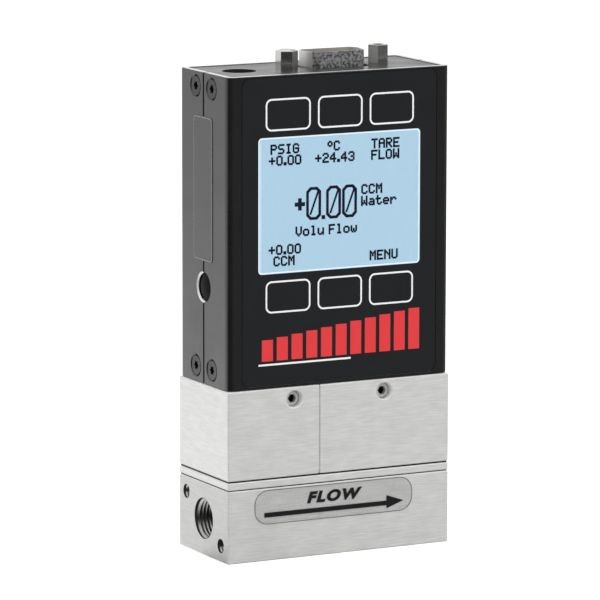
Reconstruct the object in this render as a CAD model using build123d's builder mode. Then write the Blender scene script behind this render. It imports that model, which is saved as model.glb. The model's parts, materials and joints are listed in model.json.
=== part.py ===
from build123d import *
import math
import os

# Liquid flow controller, in millimetres. The flow runs along +X, the back is +Y and up is +Z.
# The origin is the bottom centre of the flow body.

# Steel stack, from the bottom up
body_width = 60.45
body_depth = 26.67
base_height = 17.8
gasket_thickness = 0.25
plate_thickness = 1.8
upper_gasket_thickness = 0.4
block_height = 21.85
block_split_x = -5.45
block_gap = 0.1
edge_break = 0.25
gasket_inset = 0.3

# Ports and the flow path in the flow body
port_height = 9.0
port_radius = 5.0
port_depth = 9.5
port_mouth_radius = 5.15
relief_radius = 4.2
relief_depth = 2.0
element_radius = 3.55
element_length = 15.0
element_ring_offset = 2.0
ring_groove_play = 0.3
element_clearance = 0.05
element_end_x = -0.2
element_hole_radius = 0.45
element_hole_ring = 2.0
element_hole_count = 8
feed_bore_radius = 3.0
outlet_bore_radius = 2.5
tap_radius = 0.8
channel_width = 1.6
channel_depth = 1.0
downstream_tap_offset = 3.2
outlet_bore_lead = 1.5
seat_drain_radius = 1.0

# Tapped holes for brackets: two beside each port and two underneath
end_hole_radius = 1.75
end_hole_depth = 7.0
end_hole_inset = 3.985
end_hole_rise = 5.1
foot_hole_radius = 1.75
foot_hole_depth = 4.45
foot_hole_spacing = 25.0

# Cap screws that draw the stack together from below
stack_screw_end_inset = 10.225
stack_screw_side_inset = 3.735
split_screw_offsets = (-4.05, 4.95)
stack_screw_radius = 1.5
stack_screw_head_radius = 2.65
stack_screw_head_height = 2.9
stack_screw_grip = 6.0
thread_end_gap = 1.0
stack_socket_size = 2.4
stack_socket_depth = 1.5
screw_clearance = 0.1
counterbore_depth = 3.3
thread_clearance = 0.04

# Pressure sensor under the left block
sensor_x = -14.0
sensor_radius = 5.9
sensor_height = 5.5
sensor_header_radius = 4.9
sensor_header_height = 1.4
sensor_tap_offset = 3.2
sensor_pocket_clearance = 0.1
sensor_top_gap = 0.2
sensor_port_floor = 1.0
ring_section = 0.36
ring_sides = 8
sensor_ring_radius = 1.5
ring_groove_clearance = 0.03

# Proportional valve under the right block
valve_x = 12.3
valve_pocket_radius = 8.5
valve_pocket_height = 14.5
valve_feed_offset = 6.3
valve_feed_radius = 1.1
seat_plug_radius = 2.45
seat_flange_radius = 3.4
seat_flange_height = 0.6
nozzle_radius = 1.0
nozzle_height = 0.7
orifice_radius = 0.5
seat_clearance = 0.05
tube_flange_radius = 8.2
tube_flange_height = 2.2
tube_recess_radius = 7.0
tube_recess_height = 0.9
tube_bore_radius = 4.0
tube_wall = 0.6
tube_height = 13.4
tube_groove_height = 1.0
tube_groove_radius = 7.6
plunger_radius = 3.9
plunger_height = 7.0
plunger_lift = 0.4
plunger_stop_gap = 0.1
pad_radius = 1.6
pad_thickness = 0.8
pad_proud = 0.2
spring_pocket_radius = 2.0
spring_pocket_depth = 3.0
spring_radius = 1.5
spring_wire_radius = 0.22
spring_turns = 4
spring_wire_sides = 6
bobbin_clearance = 0.1
bobbin_wall = 0.7
bobbin_radius = 8.1
winding_radius = 7.7
winding_clearance = 0.03

# Spigots under the housing, each clamped by a set screw in the front of its block
spigot_x = 12.3
spigot_radius = 4.5
spigot_bore_radius = 2.8
spigot_length = 6.0
spigot_clearance = 0.1
spigot_groove_depth = 0.5
groove_half_height = 1.2
set_screw_drop = 3.0
set_screw_radius = 2.0
set_screw_recess = 1.3
set_screw_chamfer = 0.5
set_screw_tip_gap = 0.1
set_screw_mouth_radius = 2.3
set_screw_overrun = 1.0
set_screw_socket_size = 2.0
set_screw_socket_depth = 2.0

# Electronics housing
housing_width = 60.2
housing_depth = 26.5
housing_height = 75.8
housing_corner_radius = 1.9
housing_wall = 1.6
inner_corner_radius = 0.8
housing_foot_gap = 0.25
housing_fit = 0.1
seam_gap = 0.45
base_frame_height = 8.0
base_floor = 2.5
base_wall = 2.0
cap_height = 5.5
cap_web = 2.0
cap_recess = 0.15
lug_thickness = 2.9
rim_break = 0.15

# Countersunk screws in the housing sides
side_screw_y = 4.3
side_screw_low = 4.0
side_screw_top = 3.6
side_screw_head_radius = 2.35
side_screw_land = 0.4
side_screw_radius = 1.42
side_screw_length = 4.8
side_screw_sink = 0.1
countersink_radius = 2.85
lug_hole_mouth_radius = 1.7
countersink_angle = 82
side_screw_lobe_count = 6
side_screw_lobe_radii = (1.25, 0.85)
side_screw_recess_depth = 0.9

# Blanked cable hole on the left seam
cable_hole_radius = 3.4
cable_hole_rise = 23.75
cable_hole_bevel = 0.4
plug_clearance = 0.1
plug_flange_radius = 4.4
plug_flange_thickness = 0.8
plug_sink = 0.7
plug_dome_height = 0.6
plug_dome_shoulder = (0.55, 0.7)

# Front overlay, display and keys
overlay_side_margin = 3.75
overlay_bottom_margin = 0.95
overlay_top_margin = 0.55
overlay_thickness = 0.3
overlay_corner_radius = 2.0
overlay_groove = 0.15
window_side_margin = 4.3
window_rise = 26.95
window_height = 33.0
window_corner_radius = 1.0
window_clearance = 0.06
glass_margin = 1.2
glass_thickness = 1.4
glass_clearance = 0.3
backlight_margin = 2.0
backlight_thickness = 2.95
key_boss_gap = 7.95
key_drop = 5.6
key_rise = 5.4
key_stem_radius = 1.7
key_hole_radius = 2.2
key_travel = 0.25
stem_gap = 0.02
stem_entry = 1.52
stem_stop_gap = 0.13
switch_size = 6.0
switch_thickness = 2.6
switch_bore_clearance = 0.08
board_side_gap = 3.5
board_thickness = 1.6
board_bottom_margin = 3.9
board_top_margin = 3.4
board_boss_inset = 3.0
board_boss_radius = 2.2
board_boss_bore = 0.9
board_screw_radius = 0.86
board_screw_head_radius = 2.0
board_screw_head_height = 1.2
board_screw_reach = 2.0
board_screw_end_gap = 0.5

# Connectors on the top
connector_x = 4.8
jackscrew_spacing = 24.99
jackscrew_flat = 4.75
jackscrew_height = 4.6
jackscrew_bevel = 0.35
jackscrew_shank_radius = 1.4
jackscrew_shank_length = 4.5
jackscrew_bore_radius = 1.25
jackscrew_bore_depth = 3.8
jackscrew_turns = (32.6, 2.6)
d_width = 16.92
d_depth = 8.36
d_slant = 10
d_corner_radius = 2.4
d_wall = 0.4
d_protrusion = 3.9
d_opening_margin = 1.3
flange_width = 30.8
flange_depth = 12.5
flange_thickness = 0.6
flange_corner_radius = 1.5
insulator_width = 19.0
insulator_depth = 9.4
insulator_floor = 5.2
pin_radius = 0.5
pin_clearance = 0.03
pin_pitch = 2.77
pin_row_offset = 1.42
pin_drop = 0.75
pin_tail = 1.2
top_board_drop = 14.75
top_board_side_gap = 2.5
top_board_front_gap = 0.6
top_board_back_gap = 0.65
jack_wall_gap = 3.43
jack_hole_radius = 4.15
jack_body_size = 9.0
jack_body_height = 9.0
jack_socket_radius = 2.75
jack_socket_depth = 8.0
jack_pin_radius = 1.0
jack_pin_drop = 1.0

# Wires from the sensor and the coil to a header on the display board
wire_radius = 0.3
wire_sides = 6
sensor_wire_pitch = 1.2
sensor_wire_count = 4
coil_wire_pitch = 2.0
coil_wire_start_y = 6.4
coil_wire_rise_y = 1.5
coil_wire_level = 1.0
coil_wire_bend = 0.7
header_width = 8.0
header_height = 4.0
header_back_y = 2.6
header_rise = 1.0

# Labels
flow_label_left = -23.1
flow_label_right = 20.1
flow_label_bottom = 9.0
flow_label_top = 17.4
flow_label_corner_radius = 3.5
side_label_width = 10.2
side_label_centre_y = 0.2
side_label_rise = 30.1
side_label_length = 35.15
side_label_corner_radius = 1.2
label_thickness = 0.1

# Levels and planes that follow from the sizes above
front_y = -body_depth / 2
sensor_block_width = body_width / 2 + block_split_x
end_hole_y = body_depth / 2 - end_hole_inset
plate_bottom = base_height + gasket_thickness
plate_top = plate_bottom + plate_thickness
block_bottom = plate_top + upper_gasket_thickness
block_top = block_bottom + block_height
set_screw_height = block_top - set_screw_drop
housing_top = block_top + housing_height
housing_bottom = block_top + housing_foot_gap
housing_front_y = -housing_depth / 2
inner_half_width = housing_width / 2 - housing_wall
inner_half_depth = housing_depth / 2 - housing_wall
cap_top = housing_top - cap_recess
web_bottom = cap_top - cap_web
cable_hole_height = block_top + cable_hole_rise
overlay_width = housing_width - 2 * overlay_side_margin
overlay_bottom = block_top + overlay_bottom_margin
overlay_top = housing_top - overlay_top_margin
overlay_back_y = housing_front_y + overlay_thickness
window_width = overlay_width - 2 * window_side_margin
window_bottom = overlay_bottom + window_rise
window_top = window_bottom + window_height
window_centre = (window_top + window_bottom) / 2
glass_back_y = overlay_back_y + glass_thickness
board_front_y = glass_back_y + backlight_thickness
board_back_y = board_front_y + board_thickness
board_width = 2 * (inner_half_width - board_side_gap)
board_boss_x = board_width / 2 - board_boss_inset
key_pitch = board_boss_x - key_boss_gap
key_row_low = window_bottom - key_drop
key_row_high = window_top + key_rise
board_bottom = key_row_low - board_bottom_margin
board_top = key_row_high + board_top_margin
header_bottom = key_row_low + board_screw_head_radius + header_rise
top_board_z = cap_top - top_board_drop
top_board_width = 2 * (inner_half_width - top_board_side_gap)
top_board_front = board_back_y + top_board_front_gap
top_board_back = inner_half_depth - top_board_back_gap
jack_x = -inner_half_width + jack_wall_gap + jack_body_size / 2
side_label_bottom = block_top + side_label_rise
side_label_top = side_label_bottom + side_label_length
screw_rows = (block_top + side_screw_low, housing_top - side_screw_top)
key_rows = (key_row_low, key_row_high)
key_columns = (-key_pitch, 0, key_pitch)
element_bore_radius = element_radius + element_clearance
upstream_tap_x = sensor_x - sensor_tap_offset
downstream_tap_x = element_end_x + downstream_tap_offset
feed_x = valve_x - valve_feed_offset
feed_end_x = feed_x + valve_feed_radius
outlet_start_x = valve_x - outlet_bore_lead
relief_end_x = -body_width / 2 + port_depth + relief_depth
stack_screw_y = body_depth / 2 - stack_screw_side_inset
outer_screw_x = body_width / 2 - stack_screw_end_inset
split_screw_x = [block_split_x + offset for offset in split_screw_offsets]
stack_screw_x = [-outer_screw_x, *split_screw_x, outer_screw_x]
stack_screw_spots = [(x, y) for x in stack_screw_x for y in (-stack_screw_y, stack_screw_y)]
stack_hole_radius = stack_screw_radius + screw_clearance
board_screw_spots = [(x, z) for x in (-board_boss_x, board_boss_x) for z in key_rows]
key_spots = [(x, z) for z in reversed(key_rows) for x in key_columns]


def front_plane(y):
    """Plane across the front at depth y, with its X to the right and its Y up."""
    return Plane(origin=(0, y, 0), x_dir=(1, 0, 0), z_dir=(0, -1, 0))


def side_plane(side, x):
    """Plane on the left (-1) or right (1) side at distance x, facing outwards."""
    return Plane(origin=(side * x, 0, 0), x_dir=(0, side, 0), z_dir=(side, 0, 0))


def upright(spots, radius, bottom, height, mode=Mode.ADD):
    """Add, or cut, upright cylinders at x, y spots in the part that is being built."""
    with BuildSketch(Plane.XY.offset(bottom)) as circles:
        with Locations(spots):
            Circle(radius)
    extrude(circles.sketch, amount=height, mode=mode)


def seal_ring(seat, ring_radius, section_radius):
    """Add a seal ring with an eight-sided section round the normal of the plane seat."""
    across = Plane(origin=seat.origin, x_dir=seat.x_dir, z_dir=seat.y_dir)
    with BuildSketch(across) as section:
        with Locations((ring_radius, 0)):
            RegularPolygon(section_radius, ring_sides)
    revolve(section.sketch, axis=Axis(seat.origin, seat.z_dir))


def finish(piece, name):
    """Label a finished sub-part and write its file."""
    piece.label = name
    export_step(piece, f"parts/{name}.step")


os.makedirs("parts", exist_ok=True)


# Flow body: ports at both ends, the element bore, drilled passages and the screw holes
with BuildPart() as flow_body:
    with BuildSketch():
        Rectangle(body_width, body_depth)
    extrude(amount=base_height)
    chamfer(flow_body.edges(), edge_break)
    for side in (-1, 1):
        with Locations(side_plane(side, body_width / 2) * Location((0, port_height))):
            CounterSinkHole(port_radius, port_mouth_radius, port_depth, 90)
            Hole(relief_radius, port_depth + relief_depth)
            with Locations((end_hole_y, -end_hole_rise), (-end_hole_y, end_hole_rise)):
                Hole(end_hole_radius, end_hole_depth)
    with BuildSketch(Plane.YZ.offset(relief_end_x)):
        with Locations((0, port_height)):
            Circle(element_bore_radius)
    extrude(amount=element_end_x - relief_end_x, mode=Mode.SUBTRACT)
    with BuildSketch(Plane.YZ.offset(element_end_x)):
        with Locations((0, port_height)):
            Circle(feed_bore_radius)
    extrude(amount=feed_end_x - element_end_x, mode=Mode.SUBTRACT)
    with BuildSketch(Plane.YZ.offset(outlet_start_x)):
        with Locations((0, port_height)):
            Circle(outlet_bore_radius)
    extrude(amount=body_width / 2 - port_depth - outlet_start_x, mode=Mode.SUBTRACT)
    with BuildSketch(Plane.XY.offset(port_height)):
        with Locations((upstream_tap_x, 0), (downstream_tap_x, 0)):
            Circle(tap_radius)
        with Locations((feed_x, 0)):
            Circle(valve_feed_radius)
        with Locations((valve_x, 0)):
            Circle(seat_drain_radius)
    extrude(amount=base_height, mode=Mode.SUBTRACT)
    with BuildSketch(Plane.XY.offset(base_height - channel_depth)):
        with Locations(((sensor_x + sensor_tap_offset + downstream_tap_x) / 2, 0)):
            SlotCenterToCenter(downstream_tap_x - sensor_x - sensor_tap_offset, channel_width)
    extrude(amount=channel_depth, mode=Mode.SUBTRACT)
    with Locations([Location((x, y, 0), (180, 0, 0)) for x, y in stack_screw_spots]):
        CounterBoreHole(stack_hole_radius, stack_screw_head_radius + screw_clearance, counterbore_depth)
    with Locations([Location((side * foot_hole_spacing / 2, 0, 0), (180, 0, 0)) for side in (-1, 1)]):
        Hole(foot_hole_radius, foot_hole_depth)
finish(flow_body.part, "flow_body")


# Laminar flow element: a plug of fine straight passages that slides in against a shoulder
ring_groove_x = element_end_x - element_length + element_ring_offset
ring_groove_width = 2 * ring_section + ring_groove_play
ring_groove_radius = element_bore_radius - 2 * ring_section - ring_groove_clearance
with BuildPart() as laminar_element:
    with BuildSketch(Plane.YZ.offset(element_end_x - element_length)):
        with Locations((0, port_height)):
            Circle(element_radius)
            Circle(element_hole_radius, mode=Mode.SUBTRACT)
            with PolarLocations(element_hole_ring, element_hole_count):
                Circle(element_hole_radius, mode=Mode.SUBTRACT)
    extrude(amount=element_length)
    with BuildSketch(Plane.YZ.offset(ring_groove_x - ring_groove_width / 2)):
        with Locations((0, port_height)):
            Circle(element_bore_radius)
            Circle(ring_groove_radius, mode=Mode.SUBTRACT)
    extrude(amount=ring_groove_width, mode=Mode.SUBTRACT)
finish(laminar_element.part, "laminar_element")

with BuildPart() as element_ring:
    seal_ring(
        Plane(origin=(ring_groove_x, 0, port_height), z_dir=(1, 0, 0)),
        ring_groove_radius + ring_section + ring_groove_clearance / 2,
        ring_section,
    )
finish(element_ring.part, "element_ring")


# Gaskets and the manifold plate between them
gasket_width = body_width - 2 * gasket_inset
gasket_depth = body_depth - 2 * gasket_inset
with BuildPart() as lower_gasket:
    with BuildSketch(Plane.XY.offset(base_height)):
        Rectangle(gasket_width, gasket_depth)
        with Locations((upstream_tap_x, 0), (sensor_x + sensor_tap_offset, 0)):
            Circle(tap_radius, mode=Mode.SUBTRACT)
        with Locations((feed_x, 0)):
            Circle(valve_feed_radius, mode=Mode.SUBTRACT)
        with Locations((valve_x, 0)):
            Circle(seat_plug_radius + seat_clearance, mode=Mode.SUBTRACT)
        with Locations(stack_screw_spots):
            Circle(stack_hole_radius, mode=Mode.SUBTRACT)
    extrude(amount=gasket_thickness)
finish(lower_gasket.part, "lower_gasket")

with BuildPart() as manifold_plate:
    with BuildSketch(Plane.XY.offset(plate_bottom)):
        Rectangle(body_width, body_depth)
    extrude(amount=plate_thickness)
    chamfer(manifold_plate.edges(), edge_break)
    with BuildSketch(Plane.XY.offset(plate_bottom)):
        with Locations((upstream_tap_x, 0), (sensor_x + sensor_tap_offset, 0)):
            Circle(tap_radius)
        with Locations((feed_x, 0)):
            Circle(valve_feed_radius)
        with Locations((valve_x, 0)):
            Circle(seat_plug_radius + seat_clearance)
        with Locations(stack_screw_spots):
            Circle(stack_hole_radius)
    extrude(amount=plate_thickness, mode=Mode.SUBTRACT)
finish(manifold_plate.part, "manifold_plate")

with BuildPart() as upper_gasket:
    with BuildSketch(Plane.XY.offset(plate_top)):
        Rectangle(gasket_width, gasket_depth)
        with Locations((sensor_x, 0)):
            Circle(sensor_radius + sensor_pocket_clearance, mode=Mode.SUBTRACT)
        with Locations((valve_x, 0)):
            Circle(valve_pocket_radius, mode=Mode.SUBTRACT)
        with Locations(stack_screw_spots):
            Circle(stack_hole_radius, mode=Mode.SUBTRACT)
    extrude(amount=upper_gasket_thickness)
finish(upper_gasket.part, "upper_gasket")


# Sensor block and valve block, each with a pocket below and a clamped spigot hole on top
def cut_block_holes(screw_xs, clamp_x, pocket_x, pocket_radius, pocket_height):
    """Cut the holes that the two blocks share into the block that is being built."""
    screw_spots = [(x, y) for x in screw_xs for y in (-stack_screw_y, stack_screw_y)]
    spigot_floor = block_top - spigot_length - spigot_clearance
    upright(
        screw_spots,
        stack_screw_radius + thread_clearance,
        block_bottom,
        stack_screw_grip + thread_end_gap,
        Mode.SUBTRACT,
    )
    upright([(pocket_x, 0)], pocket_radius, block_bottom, pocket_height, Mode.SUBTRACT)
    upright([(clamp_x, 0)], spigot_bore_radius, block_bottom, block_height, Mode.SUBTRACT)
    upright(
        [(clamp_x, 0)], spigot_radius + spigot_clearance, spigot_floor, block_height, Mode.SUBTRACT
    )
    with Locations(front_plane(front_y) * Location((clamp_x, set_screw_height))):
        CounterSinkHole(
            set_screw_radius + thread_clearance,
            set_screw_mouth_radius,
            -front_y - spigot_radius + set_screw_overrun,
            90,
        )


sensor_pocket_height = sensor_height + sensor_header_height + sensor_top_gap
with BuildPart() as sensor_block:
    with BuildSketch(Plane.XY.offset(block_bottom)):
        with Locations((-body_width / 2 + sensor_block_width / 2, 0)):
            Rectangle(sensor_block_width, body_depth)
    extrude(amount=block_height)
    chamfer(sensor_block.edges(), edge_break)
    cut_block_holes(
        stack_screw_x[:2],
        -spigot_x,
        sensor_x,
        sensor_radius + sensor_pocket_clearance,
        sensor_pocket_height,
    )
finish(sensor_block.part, "sensor_block")

valve_block_width = body_width - sensor_block_width - block_gap
with BuildPart() as valve_block:
    with BuildSketch(Plane.XY.offset(block_bottom)):
        with Locations((body_width / 2 - valve_block_width / 2, 0)):
            Rectangle(valve_block_width, body_depth)
    extrude(amount=block_height)
    chamfer(valve_block.edges(), edge_break)
    cut_block_holes(
        stack_screw_x[2:],
        spigot_x,
        valve_x,
        valve_pocket_radius,
        valve_pocket_height,
    )
finish(valve_block.part, "valve_block")


# Pressure sensor capsule with its two face seals
with BuildPart() as sensor_capsule:
    with BuildSketch(Plane.XY.offset(plate_top)):
        with Locations((sensor_x, 0)):
            Circle(sensor_radius)
    extrude(amount=sensor_height)
    with BuildSketch(Plane.XY.offset(plate_top + sensor_height)):
        with Locations((sensor_x, 0)):
            Circle(sensor_header_radius)
    extrude(amount=sensor_header_height)
    with BuildSketch(Plane.XY.offset(plate_top)):
        with Locations((sensor_x - sensor_tap_offset, 0), (sensor_x + sensor_tap_offset, 0)):
            Circle(tap_radius)
    extrude(amount=sensor_height - sensor_port_floor, mode=Mode.SUBTRACT)
    with BuildSketch(Plane.XY.offset(plate_top)):
        with Locations((sensor_x - sensor_tap_offset, 0), (sensor_x + sensor_tap_offset, 0)):
            Circle(sensor_ring_radius + ring_section + ring_groove_clearance)
            Circle(sensor_ring_radius - ring_section - ring_groove_clearance, mode=Mode.SUBTRACT)
    extrude(amount=2 * ring_section + ring_groove_clearance, mode=Mode.SUBTRACT)
finish(sensor_capsule.part, "sensor_capsule")

with BuildPart() as sensor_rings:
    for x in (sensor_x - sensor_tap_offset, sensor_x + sensor_tap_offset):
        seal_ring(Plane(origin=(x, 0, plate_top + ring_section)), sensor_ring_radius, ring_section)
finish(sensor_rings.part, "sensor_rings")


# Valve: orifice seat, core tube, plunger with its rubber pad, spring, pole piece and coil
seat_top = plate_top + seat_flange_height + nozzle_height
with BuildPart() as orifice_seat:
    with BuildSketch(Plane.XZ) as seat_profile:
        with BuildLine():
            Polyline(
                (orifice_radius, plate_bottom),
                (seat_plug_radius, plate_bottom),
                (seat_plug_radius, plate_top),
                (seat_flange_radius, plate_top),
                (seat_flange_radius, plate_top + seat_flange_height),
                (nozzle_radius + nozzle_height, plate_top + seat_flange_height),
                (nozzle_radius, seat_top),
                (orifice_radius, seat_top),
                close=True,
            )
        make_face()
    revolve(axis=Axis.Z)
orifice_seat.part = orifice_seat.part.moved(Location((valve_x, 0, 0)))
finish(orifice_seat.part, "orifice_seat")

groove_bottom = plate_top + tube_recess_height
tube_outer_radius = tube_bore_radius + tube_wall
with BuildPart() as core_tube:
    with BuildSketch(Plane.XZ):
        with BuildLine():
            Polyline(
                (tube_bore_radius, plate_top + tube_recess_height),
                (tube_recess_radius, plate_top + tube_recess_height),
                (tube_recess_radius, plate_top),
                (tube_flange_radius, plate_top),
                (tube_flange_radius, groove_bottom),
                (tube_groove_radius, groove_bottom),
                (tube_groove_radius, groove_bottom + tube_groove_height),
                (tube_flange_radius, groove_bottom + tube_groove_height),
                (tube_flange_radius, plate_top + tube_flange_height),
                (tube_outer_radius, plate_top + tube_flange_height),
                (tube_outer_radius, plate_top + tube_height),
                (tube_bore_radius, plate_top + tube_height),
                close=True,
            )
        make_face()
    revolve(axis=Axis.Z)
core_tube.part = core_tube.part.moved(Location((valve_x, 0, 0)))
finish(core_tube.part, "core_tube")

valve_ring_section = (valve_pocket_radius - tube_groove_radius) / 2 - ring_groove_clearance
with BuildPart() as valve_ring:
    seal_ring(
        Plane(origin=(valve_x, 0, groove_bottom + tube_groove_height / 2)),
        (valve_pocket_radius + tube_groove_radius) / 2,
        valve_ring_section,
    )
finish(valve_ring.part, "valve_ring")

plunger_bottom = seat_top + pad_proud
plunger_top = plunger_bottom + plunger_height
with BuildPart() as valve_plunger:
    with BuildSketch(Plane.XY.offset(plunger_bottom)):
        with Locations((valve_x, 0)):
            Circle(plunger_radius)
    extrude(amount=plunger_height)
    with BuildSketch(Plane.XY.offset(plunger_bottom)):
        with Locations((valve_x, 0)):
            Circle(pad_radius + winding_clearance)
    extrude(amount=pad_thickness - pad_proud, mode=Mode.SUBTRACT)
    with BuildSketch(Plane.XY.offset(plunger_top - spring_pocket_depth)):
        with Locations((valve_x, 0)):
            Circle(spring_pocket_radius)
    extrude(amount=spring_pocket_depth, mode=Mode.SUBTRACT)
finish(valve_plunger.part, "valve_plunger")

with BuildPart() as seat_pad:
    with BuildSketch(Plane.XY.offset(seat_top)):
        with Locations((valve_x, 0)):
            Circle(pad_radius)
    extrude(amount=pad_thickness)
finish(seat_pad.part, "seat_pad")

pole_bottom = plunger_top + plunger_lift + plunger_stop_gap
with BuildPart() as pole_piece:
    with BuildSketch(Plane.XY.offset(pole_bottom)):
        with Locations((valve_x, 0)):
            Circle(tube_bore_radius - seat_clearance)
    extrude(amount=plate_top + tube_height - pole_bottom)
finish(pole_piece.part, "pole_piece")

spring_low = plunger_top - spring_pocket_depth + spring_wire_radius
spring_high = pole_bottom - spring_wire_radius
with BuildPart() as valve_spring:
    with BuildLine() as coil_line:
        Helix(
            pitch=(spring_high - spring_low) / spring_turns,
            height=spring_high - spring_low,
            radius=spring_radius,
            center=(valve_x, 0, spring_low),
        )
    with BuildSketch(Plane(origin=coil_line.line @ 0, z_dir=coil_line.line % 0)):
        RegularPolygon(spring_wire_radius, spring_wire_sides)
    sweep(path=coil_line.line, is_frenet=True)
finish(valve_spring.part, "valve_spring")

bobbin_bottom = plate_top + tube_flange_height + bobbin_clearance
bobbin_top = plate_top + tube_height - bobbin_clearance
bobbin_bore = tube_outer_radius + bobbin_clearance
with BuildPart() as coil_bobbin:
    with BuildSketch(Plane.XZ):
        with BuildLine():
            Polyline(
                (bobbin_bore, bobbin_bottom),
                (bobbin_radius, bobbin_bottom),
                (bobbin_radius, bobbin_bottom + bobbin_wall),
                (bobbin_bore + bobbin_wall, bobbin_bottom + bobbin_wall),
                (bobbin_bore + bobbin_wall, bobbin_top - bobbin_wall),
                (bobbin_radius, bobbin_top - bobbin_wall),
                (bobbin_radius, bobbin_top),
                (bobbin_bore, bobbin_top),
                close=True,
            )
        make_face()
    revolve(axis=Axis.Z)
coil_bobbin.part = coil_bobbin.part.moved(Location((valve_x, 0, 0)))
finish(coil_bobbin.part, "coil_bobbin")

with BuildPart() as coil_winding:
    with BuildSketch(Plane.XY.offset(bobbin_bottom + bobbin_wall + winding_clearance)):
        with Locations((valve_x, 0)):
            Circle(winding_radius)
            Circle(bobbin_bore + bobbin_wall + winding_clearance, mode=Mode.SUBTRACT)
    extrude(amount=bobbin_top - bobbin_bottom - 2 * (bobbin_wall + winding_clearance))
finish(coil_winding.part, "coil_winding")


# Cap screws from below and the set screws in front
with BuildPart() as stack_screws:
    with BuildSketch(Plane.XY.offset(counterbore_depth - stack_screw_head_height)):
        with Locations(stack_screw_spots):
            Circle(stack_screw_head_radius)
    extrude(amount=stack_screw_head_height)
    with BuildSketch(Plane.XY.offset(counterbore_depth)):
        with Locations(stack_screw_spots):
            Circle(stack_screw_radius)
    extrude(amount=block_bottom + stack_screw_grip - counterbore_depth)
    with BuildSketch(Plane.XY.offset(counterbore_depth - stack_screw_head_height)):
        with Locations(stack_screw_spots):
            RegularPolygon(stack_socket_size / 2, 6, major_radius=False)
    extrude(amount=stack_socket_depth, mode=Mode.SUBTRACT)
finish(stack_screws.part, "stack_screws")

set_screw_face_y = front_y + set_screw_recess
set_screw_tip_y = -(spigot_radius - spigot_groove_depth) - set_screw_tip_gap
with BuildPart() as set_screws:
    with BuildSketch(front_plane(set_screw_face_y)):
        with Locations((-spigot_x, set_screw_height), (spigot_x, set_screw_height)):
            Circle(set_screw_radius)
    extrude(amount=-(set_screw_tip_y - set_screw_face_y))
    chamfer(set_screws.faces().sort_by(Axis.Y)[-2:].edges(), set_screw_radius / 2)
    chamfer(set_screws.faces().sort_by(Axis.Y)[:2].edges(), set_screw_chamfer)
    with BuildSketch(front_plane(set_screw_face_y)):
        with Locations((-spigot_x, set_screw_height), (spigot_x, set_screw_height)):
            RegularPolygon(set_screw_socket_size / 2, 6, major_radius=False)
    extrude(amount=-set_screw_socket_depth, mode=Mode.SUBTRACT)
finish(set_screws.part, "set_screws")


# Housing base frame with its two spigots
def frame_outline():
    """Outline of the frames that the housing shells close around."""
    RectangleRounded(
        2 * (inner_half_width - housing_fit),
        2 * (inner_half_depth - housing_fit),
        inner_corner_radius - housing_fit,
    )


with BuildPart() as base_frame:
    with BuildSketch(Plane.XY.offset(block_top)):
        frame_outline()
    extrude(amount=base_frame_height)
    with BuildSketch(Plane.XY.offset(block_top + base_floor)):
        Rectangle(2 * (inner_half_width - housing_fit - lug_thickness), 2 * (inner_half_depth - base_wall))
    extrude(amount=base_frame_height, mode=Mode.SUBTRACT)
    with BuildSketch(Plane.XY.offset(block_top - spigot_length)):
        with Locations((-spigot_x, 0), (spigot_x, 0)):
            Circle(spigot_radius)
    extrude(amount=spigot_length)
    for side in (-1, 1):
        with BuildSketch(Plane.XZ):
            with BuildLine():
                Polyline(
                    (spigot_radius, set_screw_height - groove_half_height - spigot_groove_depth),
                    (spigot_radius - spigot_groove_depth, set_screw_height - groove_half_height),
                    (spigot_radius - spigot_groove_depth, set_screw_height + groove_half_height),
                    (spigot_radius, set_screw_height + groove_half_height + spigot_groove_depth),
                    close=True,
                )
            make_face()
        groove = revolve(axis=Axis.Z, mode=Mode.PRIVATE)
        add(groove.moved(Location((side * spigot_x, 0, 0))), mode=Mode.SUBTRACT)
    with BuildSketch(Plane.XY.offset(block_top - spigot_length)):
        with Locations((-spigot_x, 0), (spigot_x, 0)):
            Circle(spigot_bore_radius)
    extrude(amount=base_frame_height + spigot_length, mode=Mode.SUBTRACT)
    for side in (-1, 1):
        with Locations(
            side_plane(side, inner_half_width - housing_fit)
            * Location((0, screw_rows[0]))
        ):
            with Locations((-side_screw_y, 0), (side_screw_y, 0)):
                CounterSinkHole(
                    side_screw_radius + thread_clearance, lug_hole_mouth_radius, lug_thickness, 90
                )
finish(base_frame.part, "base_frame")


# Housing shells: two C-shaped covers that meet at a seam on each side
def shell_half(front):
    """Build one half of the housing wall in the current part: front 1, rear -1."""
    with BuildSketch(Plane.XY.offset(housing_bottom)) as wall:
        RectangleRounded(housing_width, housing_depth, housing_corner_radius)
        RectangleRounded(
            2 * inner_half_width, 2 * inner_half_depth, inner_corner_radius, mode=Mode.SUBTRACT
        )
        with Locations((0, front * (housing_depth / 2 - seam_gap / 2))):
            Rectangle(housing_width, housing_depth, mode=Mode.SUBTRACT)
        corners = wall.vertices().filter_by(lambda corner: abs(corner.X) > inner_half_width)
        chamfer(corners.filter_by(lambda corner: abs(corner.Y) < seam_gap), rim_break)
    extrude(wall.sketch, amount=housing_top - housing_bottom)
    for side in (-1, 1):
        for row in screw_rows:
            spot = Location((-front * side * side_screw_y, row))
            with Locations(side_plane(side, housing_width / 2) * spot):
                CounterSinkHole(
                    side_screw_radius + 2 * thread_clearance,
                    countersink_radius,
                    housing_wall,
                    countersink_angle,
                )
    with Locations(side_plane(-1, housing_width / 2) * Location((0, cable_hole_height))):
        CounterSinkHole(cable_hole_radius, cable_hole_radius + cable_hole_bevel, housing_wall, 90)


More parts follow.
